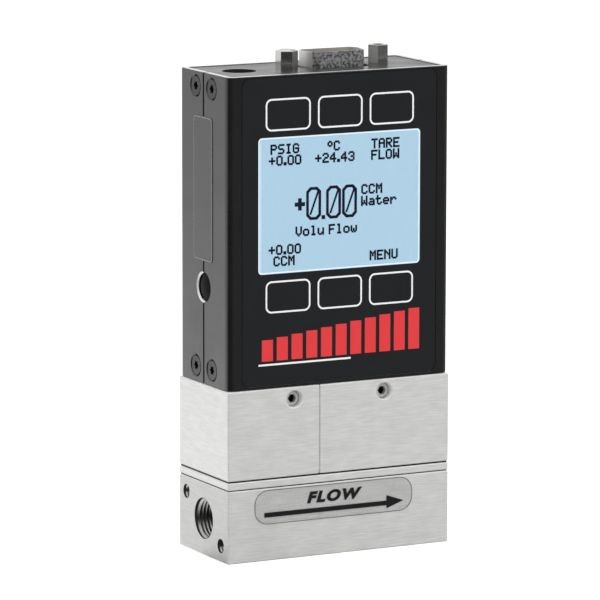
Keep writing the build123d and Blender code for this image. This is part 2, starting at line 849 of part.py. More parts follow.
with BuildPart() as front_shell:
    shell_half(1)
    chamfer(front_shell.faces().sort_by(Axis.Z)[-1].outer_wire().edges(), rim_break)
    with BuildSketch(front_plane(housing_front_y)):
        with Locations((0, (overlay_bottom + overlay_top) / 2)):
            RectangleRounded(
                overlay_width + 2 * overlay_groove,
                overlay_top - overlay_bottom + 2 * overlay_groove,
                overlay_corner_radius + overlay_groove,
            )
    extrude(amount=-overlay_thickness, mode=Mode.SUBTRACT)
    with BuildSketch(front_plane(housing_front_y)):
        with Locations((0, window_centre)):
            Rectangle(
                window_width + 2 * (glass_margin + glass_clearance),
                window_height + 2 * (glass_margin + glass_clearance),
            )
        with Locations(key_spots):
            Circle(key_hole_radius)
    extrude(amount=-housing_wall, mode=Mode.SUBTRACT)
    with BuildSketch(front_plane(board_front_y)):
        with Locations(board_screw_spots):
            Circle(board_boss_radius)
    extrude(amount=board_front_y + inner_half_depth)
    with BuildSketch(front_plane(board_front_y)):
        with Locations(board_screw_spots):
            Circle(board_boss_bore)
    extrude(amount=board_screw_reach + board_screw_end_gap, mode=Mode.SUBTRACT)
finish(front_shell.part, "front_shell")

with BuildPart() as rear_shell:
    shell_half(-1)
    chamfer(rear_shell.faces().sort_by(Axis.Z)[-1].outer_wire().edges(), rim_break)
finish(rear_shell.part, "rear_shell")


# Top cap: a machined lid with end lugs, the connector opening and the power hole
def d_outline(width, depth, corner_radius):
    """D-shaped outline with its narrow side to the front."""
    with BuildSketch(mode=Mode.PRIVATE) as outline:
        Trapezoid(width, depth, 90 - d_slant, rotation=180)
        fillet(outline.vertices(), corner_radius)
    add(outline.sketch)


with BuildPart() as top_cap:
    with BuildSketch(Plane.XY.offset(cap_top - cap_height)):
        frame_outline()
    extrude(amount=cap_height)
    chamfer(top_cap.faces().sort_by(Axis.Z)[-1].edges(), edge_break)
    with BuildSketch(Plane.XY.offset(cap_top - cap_height)):
        Rectangle(2 * (inner_half_width - housing_fit - lug_thickness), 2 * inner_half_depth)
    extrude(amount=cap_height - cap_web, mode=Mode.SUBTRACT)
    with BuildSketch(Plane.XY.offset(web_bottom)):
        with Locations((connector_x, 0)):
            d_outline(
                d_width + 2 * d_opening_margin,
                d_depth + d_opening_margin,
                d_corner_radius,
            )
        with Locations(
            (connector_x - jackscrew_spacing / 2, 0),
            (connector_x + jackscrew_spacing / 2, 0),
        ):
            Circle(jackscrew_shank_radius + screw_clearance)
        with Locations((jack_x, 0)):
            Circle(jack_hole_radius)
    extrude(amount=cap_web, mode=Mode.SUBTRACT)
    for side in (-1, 1):
        with Locations(
            side_plane(side, inner_half_width - housing_fit)
            * Location((0, screw_rows[1]))
        ):
            with Locations((-side_screw_y, 0), (side_screw_y, 0)):
                CounterSinkHole(
                    side_screw_radius + thread_clearance, lug_hole_mouth_radius, lug_thickness, 90
                )
finish(top_cap.part, "top_cap")


# Countersunk screws with six-lobe recesses in the housing sides
head_angle = countersink_angle / 2
head_height = (side_screw_head_radius - side_screw_radius) / math.tan(math.radians(head_angle))
recess_corners = []
for corner in range(2 * side_screw_lobe_count):
    reach = side_screw_lobe_radii[corner % 2]
    angle = corner * math.pi / side_screw_lobe_count
    recess_corners.append((reach * math.cos(angle), reach * math.sin(angle)))
with BuildPart() as side_screws:
    for side in (-1, 1):
        for row in screw_rows:
            for y in (-side_screw_y, side_screw_y):
                face = side_plane(side, housing_width / 2 - side_screw_sink)
                seat = Plane(
                    origin=(side * (housing_width / 2 - side_screw_sink), y, row),
                    x_dir=face.x_dir,
                    z_dir=face.z_dir,
                )
                with BuildSketch(seat):
                    Circle(side_screw_head_radius)
                extrude(amount=-side_screw_land)
                with BuildSketch(seat.offset(-side_screw_land)):
                    Circle(side_screw_head_radius)
                extrude(amount=-head_height, taper=head_angle)
                with BuildSketch(seat):
                    Circle(side_screw_radius)
                extrude(amount=-side_screw_length)
                with BuildSketch(seat):
                    with BuildLine():
                        Polyline(*recess_corners, close=True)
                    make_face()
                extrude(amount=-side_screw_recess_depth, mode=Mode.SUBTRACT)
finish(side_screws.part, "side_screws")


# Domed plug in the cable hole
with BuildPart() as cable_plug:
    with BuildSketch(Plane.XZ):
        with BuildLine():
            Polyline(
                (cable_hole_radius - plug_clearance, housing_wall - plug_sink),
                (cable_hole_radius - plug_clearance, 0),
                (plug_flange_radius, 0),
                (plug_flange_radius, -plug_flange_thickness),
                (0, -plug_flange_thickness),
                (0, housing_wall - plug_sink + plug_dome_height),
            )
            ThreePointArc(
                (0, housing_wall - plug_sink + plug_dome_height),
                (
                    cable_hole_radius * plug_dome_shoulder[0],
                    housing_wall - plug_sink + plug_dome_height * plug_dome_shoulder[1],
                ),
                (cable_hole_radius - plug_clearance, housing_wall - plug_sink),
            )
        make_face()
    revolve(axis=Axis.Z)
plug_seat = Location((-inner_half_width, 0, cable_hole_height), (0, -90, 0))
cable_plug.part = cable_plug.part.moved(plug_seat)
finish(cable_plug.part, "cable_plug")


# Keypad overlay film, display window, display and its backlight
with BuildPart() as keypad_overlay:
    with BuildSketch(front_plane(overlay_back_y)):
        with Locations((0, (overlay_bottom + overlay_top) / 2)):
            RectangleRounded(overlay_width, overlay_top - overlay_bottom, overlay_corner_radius)
        with Locations((0, window_centre)):
            RectangleRounded(window_width, window_height, window_corner_radius, mode=Mode.SUBTRACT)
    extrude(amount=overlay_thickness)
finish(keypad_overlay.part, "keypad_overlay")

with BuildPart() as display_window:
    with BuildSketch(front_plane(overlay_back_y)):
        with Locations((0, window_centre)):
            RectangleRounded(
                window_width - 2 * window_clearance,
                window_height - 2 * window_clearance,
                window_corner_radius - window_clearance,
            )
    extrude(amount=overlay_thickness)
finish(display_window.part, "display_window")

with BuildPart() as display_glass:
    with BuildSketch(front_plane(glass_back_y)):
        with Locations((0, window_centre)):
            Rectangle(window_width + 2 * glass_margin, window_height + 2 * glass_margin)
    extrude(amount=glass_thickness)
finish(display_glass.part, "display_glass")

with BuildPart() as backlight:
    with BuildSketch(front_plane(board_front_y)):
        with Locations((0, window_centre)):
            Rectangle(board_width, window_height + 2 * backlight_margin)
    extrude(amount=backlight_thickness)
finish(backlight.part, "backlight")


# Display board with six key switches, their stems and the board screws
with BuildPart() as display_board:
    with BuildSketch(front_plane(board_back_y)):
        with Locations((0, (board_bottom + board_top) / 2)):
            Rectangle(board_width, board_top - board_bottom)
        with Locations(board_screw_spots):
            Circle(board_screw_radius + screw_clearance, mode=Mode.SUBTRACT)
    extrude(amount=board_thickness)
finish(display_board.part, "display_board")

with BuildPart() as key_switches:
    with BuildSketch(front_plane(board_front_y)):
        with Locations(key_spots):
            Rectangle(switch_size, switch_size)
    extrude(amount=switch_thickness)
    with BuildSketch(front_plane(board_front_y - switch_thickness)):
        with Locations(key_spots):
            Circle(key_stem_radius + switch_bore_clearance)
    extrude(amount=-(stem_entry + key_travel + stem_stop_gap), mode=Mode.SUBTRACT)
finish(key_switches.part, "key_switches")

stem_back_y = board_front_y - switch_thickness + stem_entry
for number, (x, z) in enumerate(key_spots, start=1):
    with BuildPart() as key_stem:
        with BuildSketch(front_plane(stem_back_y)):
            with Locations((x, z)):
                Circle(key_stem_radius)
        extrude(amount=stem_back_y - overlay_back_y - stem_gap)
    finish(key_stem.part, f"key_stem_{number}")

with BuildPart() as board_screws:
    with BuildSketch(front_plane(board_back_y + board_screw_head_height)):
        with Locations(board_screw_spots):
            Circle(board_screw_head_radius)
    extrude(amount=board_screw_head_height)
    with BuildSketch(front_plane(board_back_y)):
        with Locations(board_screw_spots):
            Circle(board_screw_radius)
    extrude(amount=board_thickness + board_screw_reach)
finish(board_screws.part, "board_screws")


# Serial connector: metal shell, insulator, pins and jackscrews
flange_top = web_bottom
shell_top = cap_top + d_protrusion
insulator_top = shell_top - insulator_floor
row_spots = [((column - 2) * pin_pitch, pin_row_offset) for column in range(5)]
row_spots += [((column - 1.5) * pin_pitch, -pin_row_offset) for column in range(4)]
pin_spots = [(connector_x + x, y) for x, y in row_spots]
jackscrew_spots = [connector_x - jackscrew_spacing / 2, connector_x + jackscrew_spacing / 2]

with BuildPart() as connector_shell:
    with BuildSketch(Plane.XY.offset(flange_top - flange_thickness)):
        with Locations((connector_x, 0)):
            RectangleRounded(flange_width, flange_depth, flange_corner_radius)
    extrude(amount=flange_thickness)
    with BuildSketch(Plane.XY.offset(flange_top)):
        with Locations((connector_x, 0)):
            d_outline(d_width, d_depth, d_corner_radius)
    extrude(amount=shell_top - flange_top)
    with BuildSketch(Plane.XY.offset(flange_top - flange_thickness)):
        with Locations((connector_x, 0)):
            d_outline(d_width - 2 * d_wall, d_depth - 2 * d_wall, d_corner_radius - d_wall)
        with Locations([(x, 0) for x in jackscrew_spots]):
            Circle(jackscrew_shank_radius + screw_clearance)
    extrude(amount=shell_top, mode=Mode.SUBTRACT)
finish(connector_shell.part, "connector_shell")

with BuildPart() as connector_insulator:
    with BuildSketch(Plane.XY.offset(top_board_z)):
        with Locations((connector_x, 0)):
            Rectangle(insulator_width, insulator_depth)
    extrude(amount=flange_top - flange_thickness - top_board_z)
    with BuildSketch(Plane.XY.offset(flange_top - flange_thickness)):
        with Locations((connector_x, 0)):
            d_outline(
                d_width - 2 * (d_wall + pin_clearance),
                d_depth - 2 * (d_wall + pin_clearance),
                d_corner_radius - d_wall - pin_clearance,
            )
    extrude(amount=insulator_top - flange_top + flange_thickness)
    with BuildSketch(Plane.XY.offset(top_board_z)):
        with Locations(pin_spots):
            Circle(pin_radius + pin_clearance)
    extrude(amount=insulator_top - top_board_z, mode=Mode.SUBTRACT)
finish(connector_insulator.part, "connector_insulator")

with BuildPart() as connector_pins:
    with BuildSketch(Plane.XY.offset(top_board_z - board_thickness - pin_tail)):
        with Locations(pin_spots):
            Circle(pin_radius)
    extrude(amount=shell_top - pin_drop - top_board_z + board_thickness + pin_tail)
finish(connector_pins.part, "connector_pins")

with BuildPart() as jackscrews:
    for x, turn in zip(jackscrew_spots, jackscrew_turns):
        with BuildSketch(Plane.XY.offset(cap_top)):
            with Locations((x, 0)):
                RegularPolygon(jackscrew_flat / 2, 6, major_radius=False, rotation=turn)
        extrude(amount=jackscrew_height)
        chamfer(jackscrews.faces().sort_by(Axis.Z)[-1].edges(), jackscrew_bevel)
        with BuildSketch(Plane.XY.offset(cap_top - jackscrew_shank_length)):
            with Locations((x, 0)):
                Circle(jackscrew_shank_radius)
        extrude(amount=jackscrew_shank_length)
        with BuildSketch(Plane.XY.offset(cap_top + jackscrew_height - jackscrew_bore_depth)):
            with Locations((x, 0)):
                Circle(jackscrew_bore_radius)
        extrude(amount=jackscrew_bore_depth, mode=Mode.SUBTRACT)
finish(jackscrews.part, "jackscrews")


# Top board with the power jack
with BuildPart() as top_board:
    with BuildSketch(Plane.XY.offset(top_board_z - board_thickness)):
        with Locations((0, (top_board_front + top_board_back) / 2)):
            Rectangle(top_board_width, top_board_back - top_board_front)
        with Locations(pin_spots):
            Circle(pin_radius + pin_clearance, mode=Mode.SUBTRACT)
    extrude(amount=board_thickness)
finish(top_board.part, "top_board")

with BuildPart() as power_jack:
    with BuildSketch(Plane.XY.offset(top_board_z)):
        with Locations((jack_x, 0)):
            Rectangle(jack_body_size, jack_body_size)
    extrude(amount=jack_body_height)
    with BuildSketch(Plane.XY.offset(top_board_z + jack_body_height - jack_socket_depth)):
        with Locations((jack_x, 0)):
            Circle(jack_socket_radius)
    extrude(amount=jack_socket_depth, mode=Mode.SUBTRACT)
finish(power_jack.part, "power_jack")

with BuildPart() as power_pin:
    with BuildSketch(Plane.XY.offset(top_board_z + jack_body_height - jack_socket_depth)):
        with Locations((jack_x, 0)):
            Circle(jack_pin_radius)
    extrude(amount=jack_socket_depth - jack_pin_drop)
finish(power_pin.part, "power_pin")


# Headers on the display board and the wires that rise to them
with BuildPart() as wire_headers:
    with BuildSketch(Plane.XY.offset(header_bottom)):
        with Locations(
            (-spigot_x, (board_back_y + header_back_y) / 2),
            (spigot_x, (board_back_y + header_back_y) / 2),
        ):
            Rectangle(header_width, header_back_y - board_back_y)
    extrude(amount=header_height)
finish(wire_headers.part, "wire_headers")

sensor_wire_low = plate_top + sensor_height + sensor_header_height
with BuildPart() as sensor_wires:
    with BuildSketch(Plane.XY.offset(sensor_wire_low)):
        with Locations((-spigot_x, 0)):
            with GridLocations(sensor_wire_pitch, 0, sensor_wire_count, 1):
                Circle(wire_radius)
    extrude(amount=header_bottom - sensor_wire_low)
finish(sensor_wires.part, "sensor_wires")

with BuildPart() as coil_wires:
    for side in (-1, 1):
        wire_x = valve_x + side * coil_wire_pitch / 2
        with BuildLine() as wire_path:
            FilletPolyline(
                (wire_x, coil_wire_start_y, bobbin_top),
                (wire_x, coil_wire_start_y, bobbin_top + coil_wire_level),
                (wire_x, coil_wire_rise_y, bobbin_top + coil_wire_level),
                (wire_x, coil_wire_rise_y, header_bottom),
                radius=coil_wire_bend,
            )
        with BuildSketch(Plane.XY.offset(bobbin_top)):
            with Locations((wire_x, coil_wire_start_y)):
                RegularPolygon(wire_radius, wire_sides)
        sweep(path=wire_path.line)
finish(coil_wires.part, "coil_wires")


# Labels on the front of the flow body and across the left seam
with BuildPart() as flow_label:
    with BuildSketch(front_plane(front_y)):
        with Locations(
            (
                (flow_label_left + flow_label_right) / 2,
                (flow_label_bottom + flow_label_top) / 2,
            )
        ):
            RectangleRounded(
                flow_label_right - flow_label_left,
                flow_label_top - flow_label_bottom,
                flow_label_corner_radius,
            )
    extrude(amount=label_thickness)
finish(flow_label.part, "flow_label")

with BuildPart() as side_label:
    with BuildSketch(side_plane(-1, housing_width / 2)):
        with Locations((-side_label_centre_y, (side_label_bottom + side_label_top) / 2)):
            RectangleRounded(
                side_label_width, side_label_top - side_label_bottom, side_label_corner_radius
            )
    extrude(amount=label_thickness)
finish(side_label.part, "side_label")
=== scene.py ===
import json
import math

import bpy
from mathutils import Matrix, Vector


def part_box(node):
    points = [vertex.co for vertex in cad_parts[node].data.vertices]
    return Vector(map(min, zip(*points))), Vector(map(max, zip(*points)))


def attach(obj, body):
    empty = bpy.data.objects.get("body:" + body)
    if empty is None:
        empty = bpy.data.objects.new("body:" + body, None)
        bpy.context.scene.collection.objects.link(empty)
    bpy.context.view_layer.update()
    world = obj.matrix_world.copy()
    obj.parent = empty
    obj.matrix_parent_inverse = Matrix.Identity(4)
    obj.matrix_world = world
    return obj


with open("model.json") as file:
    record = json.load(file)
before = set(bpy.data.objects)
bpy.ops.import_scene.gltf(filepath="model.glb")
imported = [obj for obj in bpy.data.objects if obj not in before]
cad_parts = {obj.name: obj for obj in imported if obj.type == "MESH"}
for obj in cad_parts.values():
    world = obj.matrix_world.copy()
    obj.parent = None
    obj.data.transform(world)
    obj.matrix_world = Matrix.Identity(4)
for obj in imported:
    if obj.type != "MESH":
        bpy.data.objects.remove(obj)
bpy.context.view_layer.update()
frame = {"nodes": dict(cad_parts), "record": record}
nodes = frame["nodes"]

MM = 0.001

# Camera, fitted to the straight edges of the photograph
CAMERA_AZIMUTH = 27.38
CAMERA_ELEVATION = 9.26
CAMERA_ROLL = 0.10
CAMERA_DISTANCE = 1210.3 * MM
CAMERA_TARGET = (-3.95 * MM, 0, 60.78 * MM)
CAMERA_CLIP = (0.01, 50)
FOCAL_PIXELS = 4969
PHOTO_PIXELS = 600
SENSOR_WIDTH = 36

# Levels of light. What gloss sees is a level by how far a direction lies to a side, from 0 to 1
FLOOR_SIZE = 6.0
FLOOR_DROP = 0.03 * MM
FLOOR_ALBEDO = 0.8
FLOOR_GLOW = 0.45
AMBIENT = 0.55
BACK_SIDE = (-0.45, 0.88, 0.1)
BACK_LEVELS = ((0.0, 0.14), (0.12, 0.14), (0.22, 0.04), (0.68, 0.02), (0.8, 1.0))
RIGHT_SIDE = (1, 0.1, 0)
RIGHT_LEVELS = ((0.0, 0.0), (0.86, 0.0), (0.94, 0.25))
TOP_SIDE = (0, 0, 1)
TOP_LEVELS = ((0.0, 0.0), (0.62, 0.0), (0.78, 1.0))
# Distance on the floor and the share of gloss that it keeps there
NEAR_FLOOR = (0.2, 1.3)
FAR_FLOOR = (0.7, 0.9)
# Soft lamps: name, azimuth, elevation, distance and size in metres, power
LAMPS = (
    ("top_lamp", 0, 88, 1.1, 1.3, 4.5),
    ("right_lamp", -55, 38, 1.2, 0.9, 7.4),
    ("left_lamp", 75, 30, 1.2, 0.9, 2.6),
    ("back_lamp", 180, 35, 1.4, 0.9, 2.0),
)

# Brushed metal: scales of its noise along X, Y and Z, and how far it changes colour, gloss and level
STROKES_ON_WALLS = (210, 210, 3600)
STROKES_ON_TOPS = (210, 3600, 600)
FINE_STROKES = (900, 900, 5200)
WIRE_STROKES = (700, 700, 4000)
BLOTCHES = (260, 260, 420)
BLOTCH_SHARE = 0.3
STROKE_DETAIL = 3.0
BLOTCH_DETAIL = 2.0
STEEL_CONTRAST = 0.08
WIRE_CONTRAST = 0.2
TINT_SPAN = (0.36, 0.64)
ROUGH_SPAN = (0.35, 0.65)
ROUGH_SPREAD = 0.06
STROKE_BUMP = 0.12
STROKE_DEPTH = 0.02 * MM
# Painted shade on the walls of the bores in the ends of the flow body
BORE_PAINTED_SHADE = (0.05, 0.05, 0.05)

# Satin finishes: fine grain in the bump, and clouds in the gloss
GRAIN_SCALE = 9000
GRAIN_BUMP = 0.08
GRAIN_DEPTH = 0.01 * MM
CLOUD_SCALE = 120
CLOUD_SPAN = (0.3, 0.7)

# Least size of a normal's part along an axis on a face that looks that way
FACING = 0.8
LEVEL_FACE = 0.9

# Holes in the ends of the flow body, in millimetres
PORT_HEIGHT = 9.0
PORT_RADIUS = 5.0
END_HOLE_OFFSET = 9.35
END_HOLE_RISE = 5.1
END_HOLE_RADIUS = 1.75
FOOT_SPACING = 25.0
# Margins past the bore radius that the painted shade in the bores also covers
PORT_SHADE_EDGE = 0.06
HOLE_SHADE_EDGE = 0.1

# Factor, first, second and result among the sockets of a mix node
MIX_SOCKETS = {"FLOAT": (0, 2, 3, 0), "RGBA": (0, 6, 7, 2)}


def add_node(tree, kind, **values):
    """Add a shader node and set its properties, or its input sockets by name."""
    node = tree.nodes.new(kind)
    for label, value in values.items():
        if hasattr(node, label):
            setattr(node, label, value)
        else:
            node.inputs[label.replace("_", " ")].default_value = value
    return node


def feed(tree, value, socket):
    """Link another socket to a socket, or set its colour or number."""
    if isinstance(value, bpy.types.NodeSocket):
        tree.links.new(value, socket)
    elif isinstance(value, tuple):
        socket.default_value = (*value, 1)
    else:
        socket.default_value = value


def calculate(tree, operation, first, second=0.0):
    """Result of a math node."""
    node = add_node(tree, "ShaderNodeMath", operation=operation)
    feed(tree, first, node.inputs[0])
    feed(tree, second, node.inputs[1])
    return node.outputs[0]


def mixed(tree, data_type, share, first, second, **values):
    """Level or colour between two others."""
    node = add_node(tree, "ShaderNodeMix", data_type=data_type, **values)
    *slots, result = MIX_SOCKETS[data_type]
    for slot, value in zip(slots, (share, first, second)):
        feed(tree, value, node.inputs[slot])
    return node.outputs[result]


def mixed_shader(tree, share, first, second):
    """Shader between two others."""
    node = add_node(tree, "ShaderNodeMixShader")
    for slot, value in enumerate((share, first, second)):
        tree.links.new(value, node.inputs[slot])
    return node.outputs["Shader"]


def carried(tree, level, source, target=(0.0, 1.0)):
    """Level carried from one span over to another, held at its ends."""
    node = add_node(
        tree, "ShaderNodeMapRange",
        From_Min=source[0], From_Max=source[1], To_Min=target[0], To_Max=target[1],
    )
    tree.links.new(level, node.inputs["Value"])
    return node.outputs["Result"]


def ramp(tree, source, stops):
    """Colour ramp from a list of (position, colour)."""
    node = add_node(tree, "ShaderNodeValToRGB")
    elements = node.color_ramp.elements
    while len(elements) < len(stops):
        elements.new(0.5)
    for element, (position, colour) in zip(elements, stops):
        element.position = position
        element.color = (*colour, 1)
    tree.links.new(source, node.inputs["Fac"])
    return node.outputs["Color"]


def split(tree, vector):
    """X, Y and Z of a vector."""
    node = add_node(tree, "ShaderNodeSeparateXYZ")
    tree.links.new(vector, node.inputs["Vector"])
    return node.outputs


def object_place(tree):
    """Place on the object, in metres."""
    return add_node(tree, "ShaderNodeTexCoord").outputs["Object"]


def stretched_noise(tree, scales, detail):
    """Noise that is stretched along the axes with a low scale, from the place on the object."""
    mapping = add_node(tree, "ShaderNodeMapping", Scale=scales)
    noise = add_node(tree, "ShaderNodeTexNoise", Scale=1.0, Detail=detail)
    tree.links.new(object_place(tree), mapping.inputs["Vector"])
    tree.links.new(mapping.outputs["Vector"], noise.inputs["Vector"])
    return noise.outputs["Fac"]


def face_mask(tree, axis, least):
    """One where the face looks along an axis, either way, and nought elsewhere."""
    geometry = add_node(tree, "ShaderNodeNewGeometry")
    slant = split(tree, geometry.outputs["True Normal"])[axis]
    return calculate(tree, "GREATER_THAN", calculate(tree, "ABSOLUTE", slant), least)


def bore_mask(tree, bores):
    """One on the walls of bores along X, where the painted shade goes, given as (y, z, radius) in
    millimetres.
    """
    parts = split(tree, object_place(tree))
    flat = add_node(tree, "ShaderNodeCombineXYZ")
    tree.links.new(parts["Y"], flat.inputs[0])
    tree.links.new(parts["Z"], flat.inputs[1])
    inside = 0.0
    for y, z, radius in bores:
        span = add_node(tree, "ShaderNodeVectorMath", operation="DISTANCE")
        tree.links.new(flat.outputs["Vector"], span.inputs[0])
        span.inputs[1].default_value = (y * MM, z * MM, 0)
        near = calculate(tree, "LESS_THAN", span.outputs["Value"], radius * MM)
        inside = calculate(tree, "MAXIMUM", inside, near)
    wall = calculate(tree, "SUBTRACT", 1.0, face_mask(tree, "X", FACING))
    return calculate(tree, "MULTIPLY", inside, wall)


def add_bump(tree, shader, height, strength, distance):
    """Give a shader a bump."""
    bump = add_node(tree, "ShaderNodeBump", Strength=strength, Distance=distance)
    tree.links.new(height, bump.inputs["Height"])
    tree.links.new(bump.outputs["Normal"], shader.inputs["Normal"])


def grey(level):
    """Neutral colour of a level."""
    return (level, level, level)


def principled(name, colour, roughness, metallic=0.0, **inputs):
    """Make a plain material and return it with its shader node."""
    material = bpy.data.materials.new(name)
    material.use_nodes = True
    shader = material.node_tree.nodes["Principled BSDF"]
    shader.inputs["Base Color"].default_value = (*colour, 1)
    shader.inputs["Roughness"].default_value = roughness
    shader.inputs["Metallic"].default_value = metallic
    for label, value in inputs.items():
        shader.inputs[label.replace("_", " ")].default_value = value
    material.diffuse_color = (*colour, 1)
    return material, shader


def plain(name, colour, roughness, metallic=0.0, **inputs):
    """Plain material without the shader node."""
    return principled(name, colour, roughness, metallic, **inputs)[0]


def brushed_metal(name, colour, roughness, metallic, wall_strokes=STROKES_ON_WALLS,
                  top_strokes=STROKES_ON_TOPS, contrast=STEEL_CONTRAST, painted_end_shade=1.0, bores=()):
    """Brushed metal whose strokes run level on the walls and along X on level faces, with painted shade
    on its ends and in its bores.
    """
    material, shader = principled(name, colour, roughness, metallic)
    tree = material.node_tree
    strokes = mixed(
        tree, "FLOAT", face_mask(tree, "Z", FACING),
        stretched_noise(tree, wall_strokes, STROKE_DETAIL),
        stretched_noise(tree, top_strokes, STROKE_DETAIL),
    )
    blotches = stretched_noise(tree, BLOTCHES, BLOTCH_DETAIL)
    pattern = mixed(tree, "FLOAT", BLOTCH_SHARE, strokes, blotches)
    low = tuple(channel * (1 - contrast) for channel in colour)
    high = tuple(min(1.0, channel * (1 + contrast)) for channel in colour)
    tint = ramp(tree, pattern, [(TINT_SPAN[0], low), (TINT_SPAN[1], high)])
    # Painted shade: faces that look along X are multiplied by painted_end_shade, which darkens the ends
    shade = mixed(
        tree, "RGBA", face_mask(tree, "X", FACING), tint, grey(painted_end_shade), blend_type="MULTIPLY"
    )
    # Painted shade: the walls of the listed bores are made near black
    if bores:
        shade = mixed(tree, "RGBA", bore_mask(tree, bores), shade, BORE_PAINTED_SHADE)
    tree.links.new(shade, shader.inputs["Base Color"])
    rough = carried(tree, pattern, ROUGH_SPAN, (roughness - ROUGH_SPREAD, roughness + ROUGH_SPREAD))
    tree.links.new(rough, shader.inputs["Roughness"])
    add_bump(tree, shader, strokes, STROKE_BUMP, STROKE_DEPTH)
    return material


def grained(name, colour, roughness, metallic=0.0, scale=GRAIN_SCALE, **inputs):
    """Satin surface with a fine even grain in its bump and clouds in its gloss."""
    material, shader = principled(name, colour, roughness, metallic, **inputs)
    tree = material.node_tree
    clouds = stretched_noise(tree, (CLOUD_SCALE,) * 3, BLOTCH_DETAIL)
    rough = carried(tree, clouds, CLOUD_SPAN, (roughness - ROUGH_SPREAD, roughness + ROUGH_SPREAD))
    tree.links.new(rough, shader.inputs["Roughness"])
    grain = stretched_noise(tree, (scale,) * 3, BLOTCH_DETAIL)
    add_bump(tree, shader, grain, GRAIN_BUMP, GRAIN_DEPTH)
    return material


def bright_level_faces(material):
    """Give the level faces of a dark finish a bright metal shader."""
    tree = material.node_tree
    dark = tree.nodes["Principled BSDF"]
    bright_shader = add_node(tree, "ShaderNodeBsdfPrincipled", Metallic=0.8, Roughness=0.35)
    bright_shader.inputs["Base Color"].default_value = (*grey(0.85), 1)
    shown = mixed_shader(
        tree, face_mask(tree, "Z", LEVEL_FACE), dark.outputs["BSDF"], bright_shader.outputs["BSDF"]
    )
    tree.links.new(shown, tree.nodes["Material Output"].inputs["Surface"])
    return material


def plated_sheet_painted_shade(name):
    """Bright plated sheet with painted shade in uneven patches on its front."""
    colour = (0.8, 0.795, 0.785)
    patch_scale = 1500
    front_y = -3.0 * MM
    material, shader = principled(name, colour, 0.3, 0.7)
    tree = material.node_tree
    noise = stretched_noise(tree, (patch_scale,) * 3, STROKE_DETAIL)
    # Painted shade: the front, below front_y, takes uneven dark patches in place of the plated colour
    painted_front_shade = ramp(tree, noise, [(0.4, grey(0.16)), (0.58, grey(0.62))])
    front = calculate(tree, "LESS_THAN", split(tree, object_place(tree))["Y"], front_y)
    tree.links.new(mixed(tree, "RGBA", front, colour, painted_front_shade), shader.inputs["Base Color"])
    return material


def socket_steel(name):
    """Bright steel of screws with painted shade inside their sockets, behind a front plane."""
    ring_shade = grey(0.8)
    socket_painted_shade = grey(0.01)
    socket_y = -10.9 * MM
    material, shader = principled(name, ring_shade, 0.35, 0.5)
    tree = material.node_tree
    # Painted shade: everything behind socket_y, inside the sockets, is near black
    inside = calculate(tree, "GREATER_THAN", split(tree, object_place(tree))["Y"], socket_y)
    tree.links.new(mixed(tree, "RGBA", inside, ring_shade, socket_painted_shade), shader.inputs["Base Color"])
    return material


materials = {
    "stainless_steel": brushed_metal("stainless_steel", (0.8, 0.8, 0.79), 0.5, 0.33),
    "inner_steel": brushed_metal("inner_steel", (0.6, 0.6, 0.59), 0.35, 0.9, FINE_STROKES, FINE_STROKES),
    "black_anodised": bright_level_faces(
        grained("black_anodised", (0.0068, 0.0072, 0.0078), 0.3, Specular_IOR_Level=0.95)
    ),
    "cap_anodised": grained("cap_anodised", (0.025, 0.0253, 0.026), 0.3, Specular_IOR_Level=0.7),
    "black_screw": grained("black_screw", (0.012, 0.012, 0.0125), 0.36),
    "bright_screw": plain("bright_screw", (0.6, 0.6, 0.59), 0.3, 0.95),
    "gasket_rubber": plain("gasket_rubber", (0.012, 0.012, 0.012), 0.7),
    "black_plastic": grained("black_plastic", (0.009, 0.009, 0.0095), 0.45),
    "key_plastic": plain("key_plastic", (0.7, 0.7, 0.68), 0.45),
    "overlay_film": grained("overlay_film", (0.0112, 0.0132, 0.0158), 0.4, scale=6000),
    "white_plastic": plain("white_plastic", (0.8, 0.8, 0.8), 0.5),
    "circuit_board": grained("circuit_board", (0.02, 0.12, 0.05), 0.45),
    "copper_wire": brushed_metal(
        "copper_wire", (0.72, 0.36, 0.18), 0.35, 0.9, WIRE_STROKES, WIRE_STROKES, WIRE_CONTRAST
    ),
    "wire_jacket": plain("wire_jacket", (0.45, 0.03, 0.02), 0.5),
    "bright_nickel": grained("bright_nickel", (0.6, 0.595, 0.58), 0.2, 1.0, scale=4000),
    "gold_pin": plain("gold_pin", (0.83, 0.62, 0.26), 0.25, 1.0),
    "label_film": grained("label_film", (0.2, 0.203, 0.203), 0.3, scale=5000, Alpha=0.075),
    "seal_film": grained("seal_film", (0.012, 0.0123, 0.013), 0.26, Specular_IOR_Level=0.9),
    "clear_window": plain("clear_window", (0.1, 0.12, 0.14), 0.12, Alpha=0.04),
    "display_cell": plain(
        "display_cell", (0.2, 0.26, 0.3), 0.5,
        Emission_Color=(0.42, 0.62, 0.76, 1), Emission_Strength=0.87,
    ),
}

